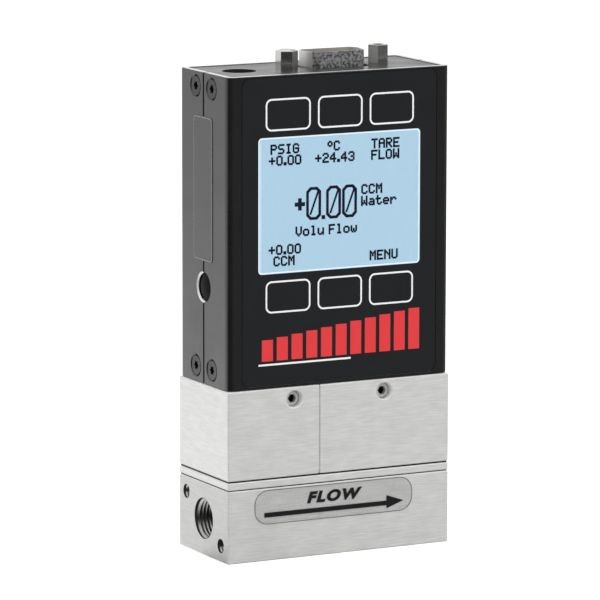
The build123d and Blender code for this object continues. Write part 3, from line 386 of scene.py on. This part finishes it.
# Pieces whose finish differs a little from the rest of their slot; those of the flow body, connector
# shell and set screws also carry painted shade
# Bores in the flow body ends that get painted shade
end_bores = [(0.0, PORT_HEIGHT, PORT_RADIUS + PORT_SHADE_EDGE)]
for end_y in (-END_HOLE_OFFSET, END_HOLE_OFFSET):
    for end_z in (PORT_HEIGHT - END_HOLE_RISE, PORT_HEIGHT + END_HOLE_RISE):
        end_bores.append((end_y, end_z, END_HOLE_RADIUS + HOLE_SHADE_EDGE))
own_finish_and_painted_shade = {
    "flow_body": brushed_metal(
        "body_steel", (0.78, 0.78, 0.765), 0.5, 0.33, painted_end_shade=0.82, bores=end_bores
    ),
    "connector_shell": plated_sheet_painted_shade("plated_sheet_painted_shade"),
    "set_screws": socket_steel("socket_steel"),
    "jackscrews": plain("jackscrew_nickel", (0.66, 0.655, 0.64), 0.14, 1.0),
    "cable_plug": plain("cable_plug", (0.004, 0.004, 0.0042), 0.5, Specular_IOR_Level=0.06),
}
for part in frame["record"]["subparts"]:
    mesh = nodes[part["node"]].data
    mesh.materials.clear()
    mesh.materials.append(own_finish_and_painted_shade.get(part["node"], materials[part["material_slot"]]))

# Finishes of what is printed or shown on the display
white_print = plain("white_print", (0.92, 0.93, 0.93), 0.5)
red_print = plain("red_print", (0.8, 0.035, 0.04), 0.45)
label_line = plain("label_line", (0.16, 0.16, 0.165), 0.4)
seal_line = plain("seal_line", (0.3, 0.31, 0.32), 0.4)
# Painted highlight: bright metal strip on the rear edge of the cable hole
painted_highlight_edge = plain("painted_highlight_edge", (0.85, 0.85, 0.84), 0.4, 0.3)
dark_print = plain("dark_print", (0.008, 0.008, 0.01), 0.5)
thread_steel = plain("thread_steel", (0.42, 0.42, 0.41), 0.22, 1.0)
display_ink = plain("display_ink", (0.01, 0.006, 0.03), 0.7, Specular_IOR_Level=0.1)
# Painted highlight: a glowing band on the border of the display window
painted_window_highlight = plain(
    "painted_window_highlight", (0.3, 0.34, 0.36), 0.5, Emission_Color=(0.74, 0.86, 0.93, 1), Emission_Strength=0.85
)


def add_mesh(name, points, faces, material):
    """Add a piece from points in millimetres, riding on the root."""
    mesh = bpy.data.meshes.new(name)
    mesh.from_pydata([Vector(point) * MM for point in points], [], faces)
    mesh.update()
    mesh.materials.append(material)
    piece = bpy.data.objects.new(name, mesh)
    bpy.context.scene.collection.objects.link(piece)
    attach(piece, "root")


def box_mm(node):
    """Lowest and highest corner of a CAD node in millimetres."""
    low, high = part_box(node)
    return Vector(low) / MM, Vector(high) / MM


class Sheet:
    """Collects flat prints with a small thickness on a front plane, in millimetres."""

    def __init__(self, back_y, thickness):
        self.back = back_y
        self.front = back_y - thickness
        self.points = []
        self.faces = []

    def shape(self, outline):
        """Add a prism from an outline of (x, z) points, anticlockwise seen from the front."""
        start, count = len(self.points), len(outline)
        self.points += [(x, self.front, z) for x, z in outline]
        self.points += [(x, self.back, z) for x, z in outline]
        self.faces.append(tuple(start + i for i in range(count)))
        self.faces.append(tuple(start + count + i for i in reversed(range(count))))
        for i in range(count):
            j = (i + 1) % count
            self.faces.append((start + j, start + i, start + count + i, start + count + j))

    def ring(self, outer, inner):
        """Add a closed band between two outlines that have as many points."""
        start, count = len(self.points), len(outer)
        for y in (self.front, self.back):
            for outline in (outer, inner):
                self.points += [(x, y, z) for x, z in outline]
        for i in range(count):
            j = (i + 1) % count
            front_out, front_in = start, start + count
            back_out, back_in = start + 2 * count, start + 3 * count
            self.faces.append((front_out + i, front_out + j, front_in + j, front_in + i))
            self.faces.append((back_out + j, back_out + i, back_in + i, back_in + j))
            self.faces.append((front_out + j, front_out + i, back_out + i, back_out + j))
            self.faces.append((front_in + i, front_in + j, back_in + j, back_in + i))

    def band(self, centre_x, centre_z, width, height, radius, line):
        """Add the outline of a rectangle with round corners, drawn with a line inside it."""
        self.ring(
            rounded(centre_x, centre_z, width, height, radius),
            rounded(centre_x, centre_z, width - 2 * line, height - 2 * line, radius - line),
        )

    def box(self, left, bottom, width, height):
        """Add a plain rectangle."""
        right, top = left + width, bottom + height
        self.shape([(left, bottom), (right, bottom), (right, top), (left, top)])

    def piece(self, name, material):
        """Make the piece."""
        add_mesh(name, self.points, self.faces, material)


def rounded(centre_x, centre_z, width, height, radius, steps=8):
    """Outline of a rectangle with round corners."""
    outline = []
    corners = ((1, -1, -90), (1, 1, 0), (-1, 1, 90), (-1, -1, 180))
    for sign_x, sign_z, start in corners:
        middle_x = centre_x + sign_x * (width / 2 - radius)
        middle_z = centre_z + sign_z * (height / 2 - radius)
        for step in range(steps + 1):
            angle = math.radians(start + 90 * step / steps)
            outline.append((middle_x + radius * math.cos(angle), middle_z + radius * math.sin(angle)))
    return outline


# Printed outlines of the six keys
overlay_front = box_mm("keypad_overlay")[0].y
PRINT_THICKNESS = 0.03
KEY_COUNT = 6
KEY_WIDTH = 12.1
KEY_HEIGHT = 7.8
KEY_RADIUS = 1.6
KEY_LINE = 0.42
outlines = Sheet(overlay_front, PRINT_THICKNESS)
for number in range(1, KEY_COUNT + 1):
    stem_low, stem_high = box_mm(f"key_stem_{number}")
    middle = (stem_low + stem_high) / 2
    outlines.band(middle.x, middle.z, KEY_WIDTH, KEY_HEIGHT, KEY_RADIUS, KEY_LINE)
outlines.piece("key_outlines", white_print)

# Printed gauge of upright bars and the white rule under it
BAR_COUNT = 11
BAR_LEFT = -21.1
BAR_PITCH = 4.0
BAR_WIDTH = 3.0
BAR_BOTTOM = 48.9
BAR_HEIGHTS = (5.2, 10.1)
bars = Sheet(overlay_front, PRINT_THICKNESS)
for number in range(BAR_COUNT):
    share = number / (BAR_COUNT - 1)
    height = BAR_HEIGHTS[0] + share * (BAR_HEIGHTS[1] - BAR_HEIGHTS[0])
    bars.box(BAR_LEFT + number * BAR_PITCH, BAR_BOTTOM, BAR_WIDTH, height)
bars.piece("gauge_bars", red_print)
RULE_LEFT = -22.0
RULE_WIDTH = 25.0
RULE_BOTTOM = 47.8
RULE_HEIGHT = 0.45
rule = Sheet(overlay_front, PRINT_THICKNESS)
rule.box(RULE_LEFT, RULE_BOTTOM, RULE_WIDTH, RULE_HEIGHT)
rule.piece("gauge_rule", white_print)

# Characters of the display on a grid of five by seven dots. The asterisk stands for the degree sign
GLYPHS = {
    "0": ("01110", "10001", "10001", "10001", "10001", "10001", "01110"),
    "2": ("01110", "10001", "00001", "00110", "01000", "10000", "11111"),
    "3": ("01110", "10001", "00001", "00110", "00001", "10001", "01110"),
    "4": ("00010", "00110", "01010", "10010", "11111", "00010", "00010"),
    "+": ("00000", "00100", "00100", "11111", "00100", "00100", "00000"),
    ".": ("00000", "00000", "00000", "00000", "00000", "01100", "01100"),
    "*": ("01100", "10010", "10010", "01100", "00000", "00000", "00000"),
    "A": ("01110", "10001", "10001", "11111", "10001", "10001", "10001"),
    "C": ("01110", "10001", "10000", "10000", "10000", "10001", "01110"),
    "E": ("11111", "10000", "10000", "11110", "10000", "10000", "11111"),
    "F": ("11111", "10000", "10000", "11110", "10000", "10000", "10000"),
    "G": ("01110", "10001", "10000", "10111", "10001", "10001", "01110"),
    "I": ("01110", "00100", "00100", "00100", "00100", "00100", "01110"),
    "L": ("10000", "10000", "10000", "10000", "10000", "10000", "11111"),
    "M": ("10001", "11011", "10101", "10101", "10001", "10001", "10001"),
    "N": ("10001", "11001", "10101", "10011", "10001", "10001", "10001"),
    "O": ("01110", "10001", "10001", "10001", "10001", "10001", "01110"),
    "P": ("11110", "10001", "10001", "11110", "10000", "10000", "10000"),
    "R": ("11110", "10001", "10001", "11110", "10100", "10010", "10001"),
    "S": ("01111", "10000", "10000", "01110", "00001", "00001", "11110"),
    "T": ("11111", "00100", "00100", "00100", "00100", "00100", "00100"),
    "U": ("10001", "10001", "10001", "10001", "10001", "10001", "01110"),
    "V": ("10001", "10001", "10001", "10001", "10001", "01010", "00100"),
    "W": ("10001", "10001", "10001", "10101", "10101", "11011", "10001"),
    "a": ("00000", "00000", "01110", "00001", "01111", "10001", "01111"),
    "e": ("00000", "00000", "01110", "10001", "11111", "10000", "01110"),
    "l": ("01100", "00100", "00100", "00100", "00100", "00100", "01110"),
    "o": ("00000", "00000", "01110", "10001", "10001", "10001", "01110"),
    "r": ("00000", "00000", "10110", "11001", "10000", "10000", "10000"),
    "t": ("01000", "01000", "11110", "01000", "01000", "01001", "00110"),
    "u": ("00000", "00000", "10001", "10001", "10001", "10011", "01101"),
    "w": ("00000", "00000", "10001", "10001", "10101", "10101", "01010"),
    " ": ("00000",) * 7,
}
NARROW = {".": (1, 3), "*": (0, 4), " ": (0, 2)}
GLYPH_COLUMNS = 5
DOT_WIDTH = 0.322
DOT_HEIGHT = 0.33
DOT_SPREAD = 0.09
LETTER_GAP = 0.38
INK_THICKNESS = 0.03
INK_LIFT = 0.02
window_low, window_high = box_mm("display_window")
ink_back = window_high.y - INK_LIFT
ink = Sheet(ink_back, INK_THICKNESS)


def dot_runs(dots):
    """Start and end of each unbroken run of dots in one row."""
    runs = []
    start = None
    for place, dot in enumerate(dots + "0"):
        if dot == "1" and start is None:
            start = place
        if dot == "0" and start is not None:
            runs.append((start, place))
            start = None
    return runs


def write_row(text, left, top):
    """Write a line of text in slightly swollen dots from its left end and top, in millimetres."""
    for letter in text:
        first, last = NARROW.get(letter, (0, GLYPH_COLUMNS))
        for row, dots in enumerate(GLYPHS[letter]):
            for run_start, run_end in dot_runs(dots[first:last]):
                ink.box(
                    left + run_start * DOT_WIDTH - DOT_SPREAD,
                    top - (row + 1) * DOT_HEIGHT - DOT_SPREAD,
                    (run_end - run_start) * DOT_WIDTH + 2 * DOT_SPREAD,
                    DOT_HEIGHT + 2 * DOT_SPREAD,
                )
        left += (last - first) * DOT_WIDTH + LETTER_GAP


SMALL_ROWS = [
    ("PSIG", -18.6, 101.2),
    ("+0.00", -19.05, 98.45),
    ("*C", -3.25, 101.2),
    ("+24.43", -6.6, 98.4),
    ("TARE", 8.7, 101.1),
    ("FLOW", 8.65, 98.35),
    ("CCM", 6.0, 90.15),
    ("Water", 5.95, 87.3),
    ("Volu Flow", -11.85, 81.0),
    ("+0.00", -19.1, 76.9),
    ("CCM", -17.8, 74.15),
    ("MENU", 8.35, 73.85),
]
for text, left, top in SMALL_ROWS:
    write_row(text, left, top)


# Large reading: a plus sign, three slashed zeros and a point
def cut_corners(left, bottom, width, height, cut):
    """Outline of a rectangle with straight cut corners."""
    right, top = left + width, bottom + height
    return [
        (left + cut, bottom), (right - cut, bottom), (right, bottom + cut), (right, top - cut),
        (right - cut, top), (left + cut, top), (left, top - cut), (left, bottom + cut),
    ]


ZERO_LEFTS = (-9.05, -3.65, 0.7)
ZERO_BOTTOM = 82.4
ZERO_SIZE = (4.05, 8.0)
ZERO_CUT = 1.05
ZERO_LINE = 0.72
SLASH = (0.85, 1.3, 3.0, 6.95)
SLASH_WIDTH = 0.55
for left in ZERO_LEFTS:
    width, height = ZERO_SIZE
    ink.ring(
        cut_corners(left, ZERO_BOTTOM, width, height, ZERO_CUT),
        cut_corners(left + ZERO_LINE, ZERO_BOTTOM + ZERO_LINE, width - 2 * ZERO_LINE,
                    height - 2 * ZERO_LINE, ZERO_CUT - ZERO_LINE / 2),
    )
    low_x, low_z = left + SLASH[0], ZERO_BOTTOM + SLASH[1]
    high_x, high_z = left + SLASH[2], ZERO_BOTTOM + SLASH[3]
    ink.shape([(low_x, low_z), (low_x + SLASH_WIDTH, low_z), (high_x + SLASH_WIDTH, high_z),
               (high_x, high_z)])
PLUS_CENTRE = (-10.75, 86.4)
PLUS_SIZE = (2.8, 3.0)
PLUS_LINE = 1.0
plus_arm = (PLUS_SIZE[1] - PLUS_LINE) / 2
bar_bottom = PLUS_CENTRE[1] - PLUS_LINE / 2
ink.box(PLUS_CENTRE[0] - PLUS_SIZE[0] / 2, bar_bottom, PLUS_SIZE[0], PLUS_LINE)
for arm_bottom in (bar_bottom - plus_arm, bar_bottom + PLUS_LINE):
    ink.box(PLUS_CENTRE[0] - PLUS_LINE / 2, arm_bottom, PLUS_LINE, plus_arm)
POINT = (-4.88, 82.4, 1.0, 1.0)
ink.box(*POINT)
ink.piece("display_characters", display_ink)

# Painted highlight: a glowing band just inside the edge of the display window
EDGE_LINE = 0.34
WINDOW_RADIUS = 0.94
window_middle = (window_low + window_high) / 2
window_size = window_high - window_low
edge = Sheet(ink_back, INK_THICKNESS)
edge.band(window_middle.x, window_middle.z, window_size.x, window_size.z, WINDOW_RADIUS, EDGE_LINE)
edge.piece("display_border", painted_window_highlight)

# Painted highlight on the rear edge of the cable hole, a strip of a cone just outside its chamfer
HOLE_RADII = (3.42, 3.8)
HOLE_ARC = (100, 275)
HOLE_STEPS = 28
SKIN = 0.02
shell_left = box_mm("rear_shell")[0].x
plug_low, plug_high = box_mm("cable_plug")
hole_height = (plug_low.z + plug_high.z) / 2
inner_radius, outer_radius = HOLE_RADII
hole_rims = (
    (inner_radius, shell_left + outer_radius - inner_radius - SKIN),
    (outer_radius, shell_left - SKIN),
)
rim_points = []
rim_faces = []
for step in range(HOLE_STEPS + 1):
    angle = math.radians(HOLE_ARC[0] + (HOLE_ARC[1] - HOLE_ARC[0]) * step / HOLE_STEPS)
    for radius, x in hole_rims:
        rim_points.append((x, -radius * math.cos(angle), hole_height + radius * math.sin(angle)))
for step in range(HOLE_STEPS):
    first = 2 * step
    rim_faces.append((first, first + 1, first + 3, first + 2))
add_mesh("cable_hole_edge", rim_points, rim_faces, painted_highlight_edge)

# Outline of the seal, drawn as on the front and turned onto the left side
SEAL_LINE = 0.16
SEAL_INSET = 0.25
SEAL_RADIUS = 1.0
seal_low, seal_high = box_mm("side_label")
seal_middle = (seal_low + seal_high) / 2
seal_size = seal_high - seal_low
seal = Sheet(0, PRINT_THICKNESS)
seal.band(-seal_middle.y, seal_middle.z, seal_size.y - 2 * SEAL_INSET, seal_size.z - 2 * SEAL_INSET,
          SEAL_RADIUS, SEAL_LINE)
seal.points = [(seal_low.x + y, -x, z) for x, y, z in seal.points]
seal.piece("side_label_outline", seal_line)

# Arrow and outline on the flow label
SHAFT = (-20.5, 13.0, 10.7, 11.85)
HEAD = (13.0, 17.6, 9.9, 13.2)
LABEL_LINE = 0.15
LABEL_RADIUS = 3.5
label_low, label_high = box_mm("flow_label")
label_middle = (label_low + label_high) / 2
label_size = label_high - label_low
arrow = Sheet(label_low.y, PRINT_THICKNESS)
arrow.box(SHAFT[0], SHAFT[2], SHAFT[1] - SHAFT[0], SHAFT[3] - SHAFT[2])
arrow.shape([(HEAD[0], HEAD[2]), (HEAD[1], (HEAD[2] + HEAD[3]) / 2), (HEAD[0], HEAD[3])])
arrow.piece("flow_arrow", dark_print)
outline = Sheet(label_low.y, PRINT_THICKNESS)
outline.band(label_middle.x, label_middle.z, label_size.x, label_size.z, LABEL_RADIUS, LABEL_LINE)
outline.piece("label_outline", label_line)

# Word above the arrow, made with the built-in font and fitted between its four sides
WORD_LEFT = -8.9
WORD_RIGHT = 6.2
WORD_BOTTOM = 13.1
WORD_TOP = 16.0
WORD_SHEAR = 0.25
WORD_SWELL = 0.055
WORD_SPACING = 1.22
WORD_EXTRUDE = 0.001
curve = bpy.data.curves.new("flow_word", "FONT")
curve.body = "FLOW"
curve.offset = WORD_SWELL
curve.space_character = WORD_SPACING
curve.shear = WORD_SHEAR
curve.extrude = WORD_EXTRUDE
word_source = bpy.data.objects.new("flow_word_source", curve)
bpy.context.scene.collection.objects.link(word_source)
bpy.context.view_layer.update()
word_mesh = bpy.data.meshes.new_from_object(word_source)
bpy.data.objects.remove(word_source)
xs = [vertex.co.x for vertex in word_mesh.vertices]
ys = [vertex.co.y for vertex in word_mesh.vertices]
zs = [vertex.co.z for vertex in word_mesh.vertices]
scale_x = (WORD_RIGHT - WORD_LEFT) / (max(xs) - min(xs))
scale_y = (WORD_TOP - WORD_BOTTOM) / (max(ys) - min(ys))
for vertex in word_mesh.vertices:
    share = (vertex.co.z - min(zs)) / (max(zs) - min(zs))
    vertex.co = Vector((
        WORD_LEFT + (vertex.co.x - min(xs)) * scale_x,
        label_low.y - share * PRINT_THICKNESS,
        WORD_BOTTOM + (vertex.co.y - min(ys)) * scale_y,
    )) * MM
word_mesh.name = "flow_word"
word_mesh.materials.clear()
word_mesh.materials.append(dark_print)
word = bpy.data.objects.new("flow_word", word_mesh)
bpy.context.scene.collection.objects.link(word)
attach(word, "root")

# Fine threads: half width of a ridge as a share of the pitch, its lift off the wall, and its run-in
THREAD_FLANK = 0.46
THREAD_LIFT = 0.02
THREAD_RUN_IN = (0.2, 2.0)


def thread(name, centre, axis, radius, depth, pitch, length, steps=40):
    """Helical ridge inside a hole, from its mouth inwards along axis, in millimetres."""
    axis = Vector(axis)
    side = Vector((0, 0, 1)) if abs(axis.z) < 0.5 else Vector((0, 1, 0))
    other = axis.cross(side)
    total = int(length / pitch * steps)
    points = []
    faces = []
    for step in range(total + 1):
        turn = step / steps
        out = side * math.cos(2 * math.pi * turn) + other * math.sin(2 * math.pi * turn)
        fade = min(1.0, (total - step) / steps, THREAD_RUN_IN[0] + THREAD_RUN_IN[1] * turn)
        profile = ((-THREAD_FLANK, THREAD_LIFT), (0.0, -depth * fade), (THREAD_FLANK, THREAD_LIFT))
        for shift, rise in profile:
            points.append(Vector(centre) + axis * ((turn + shift) * pitch) + out * (radius + rise))
    for step in range(total):
        a, b = 3 * step, 3 * step + 3
        faces += [(a, b, b + 1, a + 1), (a + 1, b + 1, b + 2, a + 2), (a + 2, b + 2, b, a)]
    add_mesh(name, points, faces, thread_steel)


PORT_PITCH = 0.94
PORT_RIDGE = 0.5
PORT_THREAD_START = 0.5
PORT_THREAD = 8.6
PORT_STEPS = 72
SMALL_PITCH = 0.7
SMALL_RIDGE = 0.28
SMALL_THREAD_START = 0.4
END_HOLE_THREAD = 5.6
FOOT_THREAD = 3.4
body_low, body_high = box_mm("flow_body")
for name, side, face_x in (("inlet", -1, body_low.x), ("outlet", 1, body_high.x)):
    thread(
        f"{name}_port_thread", (face_x - side * PORT_THREAD_START, 0, PORT_HEIGHT), (-side, 0, 0),
        PORT_RADIUS, PORT_RIDGE, PORT_PITCH, PORT_THREAD, PORT_STEPS,
    )
    for place, sign in (("low", 1), ("high", -1)):
        thread(
            f"{name}_hole_thread_{place}",
            (face_x - side * SMALL_THREAD_START, sign * side * END_HOLE_OFFSET,
             PORT_HEIGHT - sign * END_HOLE_RISE),
            (-side, 0, 0), END_HOLE_RADIUS, SMALL_RIDGE, SMALL_PITCH, END_HOLE_THREAD,
        )
for name, x in (("left", -FOOT_SPACING / 2), ("right", FOOT_SPACING / 2)):
    thread(f"foot_thread_{name}", (x, 0, SMALL_THREAD_START), (0, 0, 1), END_HOLE_RADIUS,
           SMALL_RIDGE, SMALL_PITCH, FOOT_THREAD)


# Floor, world and lamps
def surroundings(tree, vector, sides):
    """Highest of the levels that the sides give to a direction."""
    highest = 0.0
    for side, levels in sides:
        dot = add_node(tree, "ShaderNodeVectorMath", operation="DOT_PRODUCT")
        tree.links.new(vector, dot.inputs[0])
        dot.inputs[1].default_value = Vector(side).normalized()
        turned = carried(tree, dot.outputs["Value"], (-1.0, 1.0))
        level = ramp(tree, turned, [(place, grey(level)) for place, level in levels])
        highest = calculate(tree, "MAXIMUM", highest, level)
    return highest


def make_world():
    """White to the camera and through glass, a soft gradient to gloss, even light to the rest."""
    world = bpy.data.worlds.new("studio")
    bpy.context.scene.world = world
    world.use_nodes = True
    tree = world.node_tree
    background = tree.nodes["Background"]
    background.inputs["Color"].default_value = (1, 1, 1, 1)
    place = add_node(tree, "ShaderNodeTexCoord")
    path = add_node(tree, "ShaderNodeLightPath").outputs
    gloss = surroundings(tree, place.outputs["Generated"], (
        (BACK_SIDE, BACK_LEVELS), (RIGHT_SIDE, RIGHT_LEVELS), (TOP_SIDE, TOP_LEVELS),
    ))
    light = mixed(tree, "FLOAT", path["Is Glossy Ray"], AMBIENT, gloss)
    seen = calculate(tree, "MAXIMUM", path["Is Camera Ray"], path["Is Transmission Ray"])
    tree.links.new(mixed(tree, "FLOAT", seen, light, 1.0), background.inputs["Strength"])


def make_floor():
    """Pale floor that looks white, keeps the shadow, and gives gloss a soft gradient."""
    mesh = bpy.data.meshes.new("floor")
    corners = ((-1, -1), (1, -1), (1, 1), (-1, 1))
    mesh.from_pydata([(x * FLOOR_SIZE, y * FLOOR_SIZE, -FLOOR_DROP) for x, y in corners], [],
                     [(0, 1, 2, 3)])
    floor = bpy.data.objects.new("floor", mesh)
    bpy.context.scene.collection.objects.link(floor)
    material = bpy.data.materials.new("floor")
    material.use_nodes = True
    tree = material.node_tree
    tree.nodes.clear()
    output = add_node(tree, "ShaderNodeOutputMaterial")
    path = add_node(tree, "ShaderNodeLightPath").outputs
    geometry = add_node(tree, "ShaderNodeNewGeometry")
    away = add_node(tree, "ShaderNodeVectorMath", operation="NORMALIZE")
    tree.links.new(geometry.outputs["Position"], away.inputs[0])
    reach = add_node(tree, "ShaderNodeVectorMath", operation="LENGTH")
    tree.links.new(geometry.outputs["Position"], reach.inputs[0])
    gloss = surroundings(tree, away.outputs["Vector"], (
        (BACK_SIDE, BACK_LEVELS), (RIGHT_SIDE, RIGHT_LEVELS),
    ))
    fall = carried(
        tree, reach.outputs["Value"], (NEAR_FLOOR[0], FAR_FLOOR[0]), (NEAR_FLOOR[1], FAR_FLOOR[1])
    )
    mirror = add_node(tree, "ShaderNodeEmission", Color=(1, 1, 1, 1))
    tree.links.new(calculate(tree, "MULTIPLY", gloss, fall), mirror.inputs["Strength"])
    diffuse = add_node(tree, "ShaderNodeBsdfDiffuse", Color=(*grey(FLOOR_ALBEDO), 1))
    glow = add_node(tree, "ShaderNodeEmission", Color=(1, 1, 1, 1))
    level = calculate(tree, "MULTIPLY", path["Is Camera Ray"], FLOOR_GLOW)
    tree.links.new(level, glow.inputs["Strength"])
    seen = add_node(tree, "ShaderNodeAddShader")
    tree.links.new(diffuse.outputs["BSDF"], seen.inputs[0])
    tree.links.new(glow.outputs["Emission"], seen.inputs[1])
    shown = mixed_shader(
        tree, path["Is Glossy Ray"], seen.outputs["Shader"], mirror.outputs["Emission"]
    )
    tree.links.new(shown, output.inputs["Surface"])
    mesh.materials.append(material)


def soft_lamp(name, azimuth, elevation, distance, size, power):
    """Square soft lamp that looks at the middle of the object."""
    data = bpy.data.lights.new(name, "AREA")
    data.shape = "SQUARE"
    data.size = size
    data.energy = power
    lamp = bpy.data.objects.new(name, data)
    bpy.context.scene.collection.objects.link(lamp)
    turn, rise = math.radians(azimuth), math.radians(elevation)
    back = Vector((
        -math.sin(turn) * math.cos(rise), -math.cos(turn) * math.cos(rise), math.sin(rise)
    ))
    lamp.location = Vector(CAMERA_TARGET) + back * distance
    lamp.rotation_mode = "QUATERNION"
    lamp.rotation_quaternion = (-back).to_track_quat("-Z", "Y")
    lamp.visible_glossy = False


def make_camera():
    """Camera at the photograph's place."""
    turn, rise = math.radians(CAMERA_AZIMUTH), math.radians(CAMERA_ELEVATION)
    forward = Vector((
        math.sin(turn) * math.cos(rise), math.cos(turn) * math.cos(rise), -math.sin(rise)
    ))
    right = Vector((math.cos(turn), -math.sin(turn), 0))
    up = right.cross(forward)
    roll = math.radians(CAMERA_ROLL)
    rolled_right = right * math.cos(roll) + up * math.sin(roll)
    rolled_up = -right * math.sin(roll) + up * math.cos(roll)
    data = bpy.data.cameras.new("camera")
    data.sensor_width = SENSOR_WIDTH
    data.lens = FOCAL_PIXELS / PHOTO_PIXELS * SENSOR_WIDTH
    data.clip_start, data.clip_end = CAMERA_CLIP
    camera = bpy.data.objects.new("camera", data)
    bpy.context.scene.collection.objects.link(camera)
    matrix = Matrix((rolled_right, rolled_up, -forward)).transposed().to_4x4()
    matrix.translation = Vector(CAMERA_TARGET) - forward * CAMERA_DISTANCE
    camera.matrix_world = matrix
    bpy.context.scene.camera = camera


make_world()
make_floor()
for lamp_values in LAMPS:
    soft_lamp(*lamp_values)
make_camera()
bpy.context.scene.view_settings.view_transform = "Standard"
